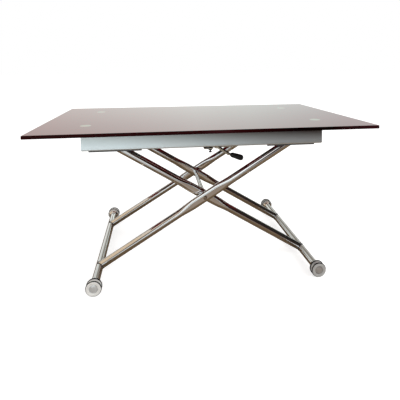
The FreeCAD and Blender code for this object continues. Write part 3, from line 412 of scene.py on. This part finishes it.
def dress_nodes():
    """Gives each solid of the frame its finish, and paints shade on the upper side of the lever bracket and the
    lever bar.
    """
    for name, item in frame["nodes"].items():
        item.data.materials.clear()
        item.data.materials.append(MATERIALS[SLOT_OF[name]])
    # Painted shade on the lever bracket, just under the apron
    shade_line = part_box("apron_front")[0].z - BRACKET_SHADE_DROP
    bracket = shaded_steel("shaded_bracket_steel", 0, shade_line - BRACKET_SHADE_BLUR,
                           shade_line + BRACKET_SHADE_BLUR)
    frame["nodes"]["lever_bracket"].data.materials[0] = bracket
    # Painted shade on the upper half of the lever bar
    slope = math.radians(LEVER_SLOPE)
    middle = LEVER_SHAFT.x * math.sin(slope) + LEVER_SHAFT.z * math.cos(slope)
    lever = shaded_steel("shaded_lever_steel", LEVER_SLOPE, middle, middle + LEVER_SHADE_BLUR)
    frame["nodes"]["lever_bar"].data.materials[0] = lever


# Building pieces

def add_piece(name, shape, slot, body, stands_for=(), centre=Vector((0, 0, 0)), sharp=35):
    """A mesh piece in the frame's own coordinates, riding on a body. centre is the piece's own origin."""
    points, faces = shape
    mesh = bpy.data.meshes.new(name)
    mesh.from_pydata([tuple(Vector(point) - centre) for point in points], [], faces)
    form = bmesh.new()
    form.from_mesh(mesh)
    bmesh.ops.recalc_face_normals(form, faces=form.faces)
    form.to_mesh(mesh)
    form.free()
    mesh.polygons.foreach_set("use_smooth", [True] * len(mesh.polygons))
    mesh.set_sharp_from_angle(angle=math.radians(sharp))
    mesh.materials.append(MATERIALS[slot])
    piece = bpy.data.objects.new(name, mesh)
    piece.location = centre
    bpy.context.scene.collection.objects.link(piece)
    bpy.context.view_layer.update()
    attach(piece, body)
    if stands_for:
        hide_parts(*stands_for)
    return piece


def skin(rings, closed=False):
    """Points and faces over rings with equally many points. closed joins the last ring to the first."""
    count = len(rings[0])
    points = [point for ring in rings for point in ring]
    faces = []
    spans = len(rings) if closed else len(rings) - 1
    for index in range(spans):
        here, there = index * count, (index + 1) % len(rings) * count
        for step in range(count):
            after = (step + 1) % count
            faces.append((here + step, here + after, there + after, there + step))
    if not closed:
        last = (len(rings) - 1) * count
        faces.append(tuple(reversed(range(count))))
        faces.append(tuple(range(last, last + count)))
    return points, faces


def join_skins(*skins):
    """Several closed skins as the points and faces of one piece."""
    points, faces = [], []
    for more_points, more_faces in skins:
        start = len(points)
        points += more_points
        faces += [tuple(start + corner for corner in face) for face in more_faces]
    return points, faces


def turns(steps):
    """Equal angles round a circle."""
    return [2 * math.pi * step / steps for step in range(steps)]


def turn_profile(profile, spot, way, steps=ROUND_STEPS, closed=False):
    """A profile of radius and distance, turned about a line. A radius can be a function of the angle."""
    side = way.orthogonal().normalized()
    other = way.cross(side)
    rings = []
    for radius, along in profile:
        ring = []
        for turn in turns(steps):
            reach = radius(turn) if callable(radius) else radius
            ring.append(spot + way * along + (side * math.cos(turn) + other * math.sin(turn)) * reach)
        rings.append(ring)
    return skin(rings, closed)


def turn_across(profile, axle, y, way, steps=ROUND_STEPS, closed=False):
    """A profile turned about an axle across the table. It starts at y, and a way of -1 is to the front."""
    return turn_profile(profile, Vector((axle.x, y, axle.z)), ACROSS * way, steps, closed)


def arc(centre, radius, start, end, steps=8):
    """Points of a profile along an arc, in degrees from the radius direction towards the axis direction."""
    angles = [math.radians(start + (end - start) * step / steps) for step in range(steps + 1)]
    return [(centre[0] + radius * math.cos(angle), centre[1] + radius * math.sin(angle))
            for angle in angles]


def hexagon(across):
    """Radius of a hexagon at an angle, from the distance across its flats."""
    def radius(turn):
        return across / 2 / math.cos(turn % (math.pi / 3) - math.pi / 6)
    return radius


def driving_socket(across, depth, edge, mouth):
    """Profile of a hexagon socket in a screw's head, from its floor to the radius of its mouth."""
    return [(AXIS_RADIUS, depth), (hexagon(across * SOCKET_TAPER), depth), (hexagon(across), edge),
            (mouth, 0)]


def ease(share):
    """A share from 0 to 1 that starts and ends slowly."""
    share = min(1.0, max(0.0, share))
    return share * share * (3 - 2 * share)


# The glass

def rounded_outline(low, high, inset, height):
    """A rectangle with round corners, seen from above, at a height and inset from a box."""
    radius = GLASS_CORNER - inset
    outline = []
    for quarter, (x, y) in enumerate(((high.x, high.y), (low.x, high.y), (low.x, low.y), (high.x, low.y))):
        middle_x = x - math.copysign(GLASS_CORNER, x)
        middle_y = y - math.copysign(GLASS_CORNER, y)
        for step in range(CORNER_STEPS + 1):
            turn = math.pi / 2 * (quarter + step / CORNER_STEPS)
            outline.append((middle_x + radius * math.cos(turn), middle_y + radius * math.sin(turn), height))
    return outline


def make_glass():
    """The glass top: lacquer above and below, and a dark edge with its two bevels."""
    low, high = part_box("glass_top")
    rings = [rounded_outline(low, high, inset, height) for inset, height in (
        (GLASS_ARRIS, low.z), (0, low.z + GLASS_ARRIS), (0, high.z - GLASS_ARRIS), (GLASS_ARRIS, high.z))]
    glass = add_piece("glass_sheet", skin(rings), "lacquered_glass", BODY_OF["glass_top"], ["glass_top"])
    glass.data.materials.append(glass_edge())
    glass.data.materials.append(plastic("lacquer_back", (0.075, 0.002, 0.004), rough=0.5,
                                        grain_scale=300.0, grain_depth=0.0001, gloss=0.03))
    upper, edge, lower = range(3)
    for face in glass.data.polygons:
        face.material_index = edge
        if face.normal.z > LEVEL_RISE:
            face.material_index = upper
        elif face.normal.z < -LEVEL_RISE:
            face.material_index = lower


# Legs

def leg_section(along, crossing):
    """Height, width and squareness of a leg's section at a distance from its roller axle."""
    before = ease((along - (crossing - LEG_FLAT_HALF - LEG_BLEND)) / LEG_BLEND)
    after = ease((along - (crossing + LEG_FLAT_HALF)) / LEG_BLEND)
    foot_section = (LEG_DIA, LEG_DIA, ROUND_POWER)
    flat_section = (*LEG_FLAT, LEG_FLAT_POWER)
    top_section = (*LEG_TOP, ROUND_POWER)
    sizes = []
    for foot, flat, top in zip(foot_section, flat_section, top_section):
        size = foot + before * (flat - foot)
        sizes.append(size + after * (top - flat))
    return sizes


def squared(part, power):
    """A sine or cosine on a rounded square. With the power of a circle it stays as it is."""
    return math.copysign(abs(part) ** (ROUND_POWER / power), part)


def make_leg(node_name, foot, top):
    """A leg's tube, pressed flat where the legs cross, with a weld at either end."""
    low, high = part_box(node_name)
    middle = Vector((0, (low.y + high.y) / 2, 0))
    line = top - foot
    length = line.length
    way = line.normalized()
    side = way.cross(ACROSS).normalized()
    crossing = (CROSSING - foot).length
    count = round((length - 2 * LEG_START) / LEG_STEP)
    rings = []
    for index in range(count + 1):
        along = LEG_START + (length - 2 * LEG_START) * index / count
        tall, wide, power = leg_section(along, crossing)
        spot = foot + middle + way * along
        rings.append([spot + side * tall / 2 * squared(math.cos(turn), power)
                      + ACROSS * wide / 2 * squared(math.sin(turn), power) for turn in turns(ROUND_STEPS)])
    body = BODY_OF[node_name]
    add_piece(node_name + "_tube", skin(rings), "chrome", body, [node_name])
    make_weld(node_name + "_foot_weld", foot + middle, way, side, (LEG_DIA, LEG_DIA), BAR_DIA, body)
    make_weld(node_name + "_top_weld", top + middle, -way, side, LEG_TOP, SLEEVE_DIA, body)


def make_weld(name, spot, way, side, section, bar_dia, body):
    """A bead along the seam where a leg's section meets a round bar."""
    radius = bar_dia / 2
    line = []
    for turn in turns(ROUND_STEPS):
        off = section[0] / 2 * math.cos(turn)
        along = math.sqrt(max(0.0, radius ** 2 - off ** 2))
        line.append(spot + way * along + side * off + ACROSS * section[1] / 2 * math.sin(turn))
    rings = []
    for step, point in enumerate(line):
        ahead = (line[(step + 1) % ROUND_STEPS] - line[step - 1]).normalized()
        out = (point - spot - way * (point - spot).dot(way)).normalized()
        up = ahead.cross(out).normalized()
        out = up.cross(ahead)
        rings.append([point + (out * math.cos(turn) + up * math.sin(turn)) * WELD_BEAD
                      for turn in turns(WELD_STEPS)])
    add_piece(name, skin(rings, closed=True), "dark_steel", body)


# Foot bars, hubs and rollers

def make_foot(side, axle):
    """One foot bar with its flared hubs."""
    low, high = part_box(f"{side}_foot_bar")
    body = BODY_OF[f"{side}_foot_bar"]
    radius = (high.x - low.x) / 2
    bar = turn_across([(radius, 0), (radius, high.y - low.y)], axle, low.y, 1)
    add_piece(f"{side}_foot_bar_tube", bar, "chrome", body, [f"{side}_foot_bar"])
    hub_low, hub_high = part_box(f"{side}_foot_hubs")
    hub_radius = (hub_high.z - hub_low.z) / 2
    length = low.y - hub_low.y
    flare = length - HUB_RIM
    profile = [(radius - HUB_TUCK, -HUB_TUCK_LENGTH), (radius, 0)]
    for step in range(1, CURVE_STEPS + 1):
        swell = ease(step / CURVE_STEPS) ** HUB_FLARE_POWER
        profile.append((radius + (hub_radius - RIM_ROUND - radius) * swell, flare * step / CURVE_STEPS))
    profile += arc((hub_radius - RIM_ROUND, flare + RIM_ROUND), RIM_ROUND, -90, 0)
    profile += arc((hub_radius - RIM_ROUND, length - RIM_ROUND), RIM_ROUND, 0, 90)
    profile += [(AXLE_BORE_DIA / 2, length)]
    hubs = [turn_across(profile, axle, y, way) for y, way in ((low.y, -1), (high.y, 1))]
    add_piece(f"{side}_foot_bells", join_skins(*hubs), "chrome", body, [f"{side}_foot_hubs"])


def groove(centre_radius, along, rim):
    """The round groove of a rubber ring, cut into a rim."""
    radius = RING_THICK / 2
    half = math.degrees(math.acos((rim - centre_radius) / radius))
    return arc((centre_radius, along), radius, -half, half - 360, GROOVE_STEPS)


def make_roller(side, end, axle):
    """A turned roller with a recessed face and two grooves. Its own origin is on its axle."""
    node_name = f"{side}_roller_{end}"
    low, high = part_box(node_name)
    width = high.y - low.y
    face_y, way = (low.y, 1) if end == "front" else (high.y, -1)
    ring_low, ring_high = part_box(f"{side}_tyre_rings")
    ring_radius = (ring_high.z - ring_low.z) / 2 - RING_THICK / 2
    rim = ring_radius + RING_THICK / 2 - RIM_BELOW_RING
    recess = RECESS_DIA / 2
    profile = [(SMALL_EDGE, RECESS_DEPTH), (recess, RECESS_DEPTH), (recess, SMALL_EDGE),
               (recess + SMALL_EDGE, 0)]
    profile += arc((rim - RIM_ROUND, RIM_ROUND), RIM_ROUND, -90, 0)
    for along in (RING_INSET, width - RING_INSET):
        profile += groove(ring_radius, along, rim)
    profile += arc((rim - RIM_ROUND, width - RIM_ROUND), RIM_ROUND, 0, 90)
    profile += [(AXLE_BORE_DIA / 2, width)]
    turned = turn_across(profile, axle, face_y, way, ROLLER_STEPS)
    centre = Vector((axle.x, face_y, axle.z))
    piece = add_piece(node_name + "_turned", turned, "satin_metal", BODY_OF[node_name], [node_name],
                      centre, sharp=50)
    # The right rollers get painted shade: a darker copy of the turned metal
    if side == "right":
        piece.data.materials[0] = SHADED_TURNED_METAL


def make_rings(side, axle):
    """The four rubber rings of one axle."""
    node_name = f"{side}_tyre_rings"
    low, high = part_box(node_name)
    roller_low, roller_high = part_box(f"{side}_roller_front")
    radius = RING_THICK / 2
    ring_radius = (high.z - low.z) / 2 - radius
    apart = roller_high.y - roller_low.y - 2 * RING_INSET
    last_angle = 360 - 360 / RING_STEPS
    rings = []
    for y, way in ((low.y + radius, 1), (high.y - radius, -1)):
        for along in (0, apart):
            section = arc((ring_radius, along), radius, 0, last_angle, RING_STEPS - 1)
            rings.append(turn_across(section, axle, y, way, ROLLER_STEPS, closed=True))
    add_piece(f"{side}_rubber_rings", join_skins(*rings), "black_rubber", BODY_OF[node_name], [node_name])


def make_caps(side, axle):
    """The domed caps in the faces of the two rollers of one axle, on their stems."""
    node_name = f"{side}_roller_caps"
    low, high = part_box(node_name)
    base = CAP_DIA / 2
    dome = (base ** 2 + CAP_RISE ** 2) / (2 * CAP_RISE)
    widest = math.asin(base / dome)
    profile = []
    for step in range(CURVE_STEPS + 1):
        angle = widest * (step + POLE_GAP) / (CURVE_STEPS + POLE_GAP)
        profile.append((dome * math.sin(angle), dome * (1 - math.cos(angle))))
    stem = CAP_STEM_DIA / 2
    floor = CAP_RISE + CAP_EDGE
    profile += [(base, floor), (stem, floor), (stem, floor + CAP_STEM_LENGTH)]
    caps = [turn_across(profile, axle, y, way) for y, way in ((low.y, 1), (high.y, -1))]
    piece = add_piece(f"{side}_domed_caps", join_skins(*caps), "satin_metal", BODY_OF[node_name],
                      [node_name])
    # The right caps get painted shade: a darker copy of the cap metal
    piece.data.materials[0] = CAP_METAL[side]


# The crossing

def make_bolts():
    """Two domed bolts with a driving socket."""
    low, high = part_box("pivot_bolts")
    seat_low, seat_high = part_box("pivot_stretcher")
    head = BOLT_HEAD_DIA / 2
    mouth = BOLT_SOCKET / 2 + BOLT_SOCKET_FLAT
    rise = BOLT_HEAD - BOLT_RIM
    profile = driving_socket(BOLT_SOCKET, BOLT_SOCKET_DEPTH, BOLT_SOCKET_EDGE, mouth)
    for step in range(1, CURVE_STEPS + 1):
        angle = math.pi / 2 * step / CURVE_STEPS
        profile.append((mouth + (head - mouth) * math.sin(angle), rise * (1 - math.cos(angle))))
    profile += [(head, BOLT_HEAD), (BOLT_DIA / 2, BOLT_HEAD)]
    bolts = []
    for y, way, seat in ((low.y, 1, seat_low.y), (high.y, -1, seat_high.y)):
        shank = [(BOLT_DIA / 2, abs(seat - y) + BOLT_SUNK)]
        bolts.append(turn_across(profile + shank, CROSSING, y, way))
    add_piece("pivot_bolt_heads", join_skins(*bolts), "bright_steel", BODY_OF["pivot_bolts"],
              ["pivot_bolts"], sharp=30)


# The release lever

def sloped(degrees):
    """Direction to the right and down, at an angle below level."""
    return Vector((math.cos(math.radians(degrees)), 0, -math.sin(math.radians(degrees))))


def make_grip():
    """The lever's grip: slim at the bend, swelling quickly, with a round end."""
    low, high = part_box("lever_grip")
    shaft = Vector((LEVER_SHAFT.x, (low.y + high.y) / 2, LEVER_SHAFT.z))
    start = shaft + sloped(LEVER_SLOPE) * LEVER_RUN + sloped(GRIP_SLOPE) * GRIP_START
    thin, shoulder, thick = GRIP_THIN / 2, GRIP_SHOULDER_DIA / 2, GRIP_THICK / 2
    neck = GRIP_SHOULDER - GRIP_COLLAR
    hold = GRIP_LENGTH - GRIP_ROUND - GRIP_SHOULDER
    profile = [(GRIP_CORE, 0)] + arc((thin - GRIP_COLLAR, GRIP_COLLAR), GRIP_COLLAR, -90, 0)
    for step in range(1, CURVE_STEPS + 1):
        swell = math.sin(math.pi / 2 * step / CURVE_STEPS) ** GRIP_SWELL_POWER
        profile.append((thin + (shoulder - thin) * swell, GRIP_COLLAR + neck * step / CURVE_STEPS))
    for step in range(1, CURVE_STEPS + 1):
        swell = ease(step / CURVE_STEPS)
        profile.append((shoulder + (thick - shoulder) * swell, GRIP_SHOULDER + hold * step / CURVE_STEPS))
    profile += arc((thick - GRIP_ROUND, GRIP_LENGTH - GRIP_ROUND), GRIP_ROUND, GRIP_ROUND_START, 90,
                   GRIP_END_STEPS)
    grip = turn_profile(profile, start, sloped(GRIP_SLOPE))
    add_piece("grip_moulding", grip, "black_plastic", BODY_OF["lever_grip"], ["lever_grip"])


def make_bracket_fasteners():
    """A socket screw in the bracket's lug, and the lock nut of the stop screw under the bracket's foot."""
    low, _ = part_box("lever_bracket")
    stop_low, stop_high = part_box("stop_screw")
    rail_low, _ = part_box("apron_front")
    body = BODY_OF["lever_bracket"]
    radius = LUG_SCREW_DIA / 2
    mouth = LUG_SCREW_SOCKET / 2 + 2 * SMALL_EDGE
    screw = driving_socket(LUG_SCREW_SOCKET, LUG_SCREW_HEIGHT * LUG_SOCKET_SHARE, SMALL_EDGE, mouth)
    screw += arc((radius - SMALL_EDGE, SMALL_EDGE), SMALL_EDGE, -90, 0, EDGE_STEPS)
    screw += [(radius, LUG_SCREW_HEIGHT)]
    spot = Vector((low.x + LUG_SCREW_INSET, low.y - LUG_SCREW_HEIGHT, (low.z + rail_low.z) / 2))
    add_piece("lug_screw", turn_profile(screw, spot, ACROSS), "dark_steel", body, sharp=30)
    nut = [(hexagon(LOCK_NUT_ACROSS * NUT_CHAMFER), 0), (hexagon(LOCK_NUT_ACROSS), 2 * SMALL_EDGE),
           (hexagon(LOCK_NUT_ACROSS), LOCK_NUT_HEIGHT)]
    middle = (stop_low + stop_high) / 2
    spot = Vector((middle.x, middle.y, low.z - LOCK_NUT_HEIGHT))
    add_piece("stop_lock_nut", turn_profile(nut, spot, UP), "black_paint", body, sharp=20)


# Camera, light and stage

FLOOR_HALF = 30
FLOOR_GLOW = 1.25
FLOOR_LAYER = 0.0005
ROOM_HALF = 6
ROOM_HEIGHT = 4.2
FRONT_ENDS = ((-5.0, -3.0), (5.0, -4.4))
FRONT_BORDERS = (0, 0.6, 2.4, ROOM_HEIGHT)
BACK_Y = 3.6
BACK_BORDERS = (0, 0.86, 1.42, ROOM_HEIGHT)
SIDE_X = 4.6
SIDE_FRONT_Y = -4.6
STRIP_HALF = 3.6
STRIP_BORDERS = (-3.6, -2.05, -0.6)
CARD_MOTTLE = 0.97
SOFTBOX_PLACE = (2.4, -1.9, 1.9)
SOFTBOX_AIM = (0, 0, 0.4)
SOFTBOX_SIDE = 1.8
SOFTBOX_POWER = 50

# Colours of the stage. A list gives places along X, each with the glow's colour there

FLOOR = (0.56, 0.56, 0.557)
FLOOR_SHINE = (0.171, 0.118, 0.068)
LEFT_WALL = (0.66, 0.525, 0.375)
RIGHT_WALL = (0.020, 0.018, 0.015)
CEILING = (0.60, 0.53, 0.45)
BLACK = (0.0, 0.0, 0.0)
CREAM = (0.64, 0.51, 0.37)
WINDOW = (1.15, 1.22, 1.22)
SHADE = (0.05, 0.045, 0.04)
DARK = (0.025, 0.006, 0.005)
BACK_LOW = [(-1.9, (0.74, 0.77, 0.73)), (-1.2, (0.62, 0.63, 0.58)), (-0.6, (0.26, 0.236, 0.196)),
            (2.0, (0.24, 0.215, 0.18)), (2.8, (0.50, 0.50, 0.47))]
BACK_MIDDLE = [(-1.9, (0.90, 0.862, 0.82)), (0.4, (1.12, 1.22, 1.17)), (1.2, (1.04, 1.17, 1.12)),
               (2.8, (0.80, 0.86, 0.85))]
BACK_HIGH = [(-2.8, (0.14, 0.13, 0.12)), (-2.3, (0.16, 0.15, 0.14)), (-1.9, (0.74, 0.77, 0.73)),
             (-0.75, (0.62, 0.64, 0.59)), (-0.35, (0.28, 0.255, 0.215)), (2.8, (0.30, 0.28, 0.25))]
FRONT_LOW = [(-1.6, (0.62, 0.64, 0.63)), (0.2, (0.45, 0.43, 0.40)), (0.5, (0.12, 0.08, 0.05)), (2.4, DARK)]
FRONT_MIDDLE = [(-2.8, CREAM), (-2.6, SHADE), (-1.75, SHADE), (-1.6, WINDOW), (0.05, WINDOW),
                (0.25, (0.16, 0.11, 0.08)), (0.6, DARK), (2.4, DARK)]
FRONT_HIGH = [(-2.4, CREAM), (-1.6, (0.05, 0.02, 0.015)), (2.4, DARK)]
FRONT_FLOOR = [(-1.6, (1.83, 2.00, 2.00)), (0.3, (0.90, 1.07, 1.12)), (0.9, (0.34, 0.41, 0.48)),
               (2.4, (0.06, 0.08, 0.10))]
NEAR_FLOOR = [(-1.0, (0.60, 0.62, 0.61)), (-0.3, (0.50, 0.48, 0.46)), (0.05, (0.33, 0.265, 0.21)),
              (0.7, (0.20, 0.145, 0.10))]


def make_camera():
    """The photograph's camera, with the shift of its framing."""
    data = bpy.data.cameras.new("camera")
    data.sensor_width = SENSOR
    data.lens = FOCAL_PIXELS / PHOTO_SIDE * SENSOR
    data.shift_x = 0.5 - CENTRE_PIXEL[0] / PHOTO_SIDE
    data.shift_y = CENTRE_PIXEL[1] / PHOTO_SIDE - 0.5
    camera = bpy.data.objects.new("camera", data)
    bpy.context.scene.collection.objects.link(camera)
    turn = (Matrix.Rotation(math.radians(-CAMERA_YAW), 4, "Z")
            @ Matrix.Rotation(math.radians(90 - CAMERA_PITCH), 4, "X")
            @ Matrix.Rotation(math.radians(CAMERA_ROLL), 4, "Z"))
    camera.matrix_world = Matrix.Translation(CAMERA_PLACE) @ turn
    bpy.context.scene.camera = camera


def make_softbox():
    """A soft light from the right, which polished surfaces don't show."""
    data = bpy.data.lights.new("right_softbox", "AREA")
    data.shape = "SQUARE"
    data.size = SOFTBOX_SIDE
    data.energy = SOFTBOX_POWER
    light = bpy.data.objects.new("right_softbox", data)
    light.location = SOFTBOX_PLACE
    light.rotation_euler = (Vector(SOFTBOX_AIM) - Vector(SOFTBOX_PLACE)).to_track_quat("-Z", "Y").to_euler()
    light.visible_glossy = False
    bpy.context.scene.collection.objects.link(light)


def make_world():
    """White light from all round, with colours shown as they are."""
    world = bpy.data.worlds.new("studio")
    world.use_nodes = True
    background = world.node_tree.nodes["Background"]
    background.inputs["Color"].default_value = (1, 1, 1, 1)
    background.inputs["Strength"].default_value = 1.0
    bpy.context.scene.world = world
    bpy.context.scene.view_settings.view_transform = "Standard"


def add_card(name, corners, colour, glow):
    """A flat piece of the stage. A matt colour, with some of that colour as a glow of its own."""
    mesh = bpy.data.meshes.new(name)
    mesh.from_pydata(corners, [], [tuple(range(len(corners)))])
    material, tree, surface = shader(name)
    darker = tuple(part * CARD_MOTTLE for part in colour)
    patches = mix(tree, spread(tree, noise(tree, scale=2.0), 0, 1), colour, darker)
    tree.links.new(patches, surface.inputs["Base Color"])
    surface.inputs["Roughness"].default_value = 0.75
    surface.inputs["Specular IOR Level"].default_value = 0.0
    surface.inputs["Emission Color"].default_value = (*colour, 1)
    surface.inputs["Emission Strength"].default_value = glow
    mesh.materials.append(material)
    card = bpy.data.objects.new(name, mesh)
    bpy.context.scene.collection.objects.link(card)
    return card


def add_reflection(name, corners, colour, glow=0.0, stops=()):
    """A card that only polished surfaces show. stops are places along X with the glow's colour there."""
    card = add_card(name, corners, colour, glow)
    card.visible_camera = False
    card.visible_diffuse = False
    card.visible_shadow = False
    if stops:
        tree = card.data.materials[0].node_tree
        x, _, _ = own_place(tree)
        ramp = node(tree, "ShaderNodeValToRGB")
        first, last = stops[0][0], stops[-1][0]
        tree.links.new(spread(tree, x, 0, 1, first, last), ramp.inputs["Fac"])
        elements = ramp.color_ramp.elements
        while len(elements) < len(stops):
            elements.new(0.5)
        for element, (place, shade) in zip(elements, stops):
            element.position = (place - first) / (last - first)
            element.color = (*shade, 1)
        tree.links.new(ramp.outputs["Color"], tree.nodes["Principled BSDF"].inputs["Emission Color"])


def upright(start, end, bottom, top):
    """Corners of an upright card between two places on the floor."""
    return [(*start, bottom), (*end, bottom), (*end, top), (*start, top)]


def level(half, front, back, height):
    """Corners of a level card that reaches equally far to the left and the right."""
    return [(-half, front, height), (half, front, height), (half, back, height), (-half, back, height)]


def make_stage():
    """The white floor, and the room that only polished surfaces show."""
    add_card("floor", level(FLOOR_HALF, -FLOOR_HALF, FLOOR_HALF, 0), FLOOR, FLOOR_GLOW)
    add_reflection("floor_reflection", level(ROOM_HALF, -ROOM_HALF, ROOM_HALF, FLOOR_LAYER), FLOOR_SHINE)
    for name, front, back, stops in zip(("front_floor", "near_floor"), STRIP_BORDERS, STRIP_BORDERS[1:],
                                        (FRONT_FLOOR, NEAR_FLOOR)):
        strip = level(STRIP_HALF, front, back, 2 * FLOOR_LAYER)
        add_reflection(f"{name}_reflection", strip, BLACK, 1.0, stops)
    back_ends = ((-ROOM_HALF, BACK_Y), (ROOM_HALF, BACK_Y))
    for name, ends, borders, bands in (
            ("front", FRONT_ENDS, FRONT_BORDERS, (FRONT_LOW, FRONT_MIDDLE, FRONT_HIGH)),
            ("back", back_ends, BACK_BORDERS, (BACK_LOW, BACK_MIDDLE, BACK_HIGH))):
        for part, bottom, top, stops in zip(("low", "middle", "high"), borders, borders[1:], bands):
            add_reflection(f"{name}_{part}_reflection", upright(*ends, bottom, top), BLACK, 1.0, stops)
    for name, x, colour in (("left_wall", -SIDE_X, LEFT_WALL), ("right_wall", SIDE_X, RIGHT_WALL)):
        wall = upright((x, SIDE_FRONT_Y), (x, BACK_Y), 0, ROOM_HEIGHT)
        add_reflection(f"{name}_reflection", wall, colour)
    add_reflection("ceiling_reflection", level(ROOM_HALF, -ROOM_HALF, ROOM_HALF, ROOM_HEIGHT), CEILING)


dress_nodes()
make_glass()
for leg, foot, top in (("outer_leg", LEFT_FOOT, RIGHT_TOP), ("inner_leg", RIGHT_FOOT, LEFT_TOP)):
    for end in ("front", "back"):
        make_leg(f"{leg}_{end}", foot, top)
for side, axle in (("left", LEFT_FOOT), ("right", RIGHT_FOOT)):
    make_foot(side, axle)
    make_rings(side, axle)
    make_caps(side, axle)
    for end in ("front", "back"):
        make_roller(side, end, axle)
make_bolts()
make_grip()
make_bracket_fasteners()
make_stage()
make_world()
make_softbox()
make_camera()
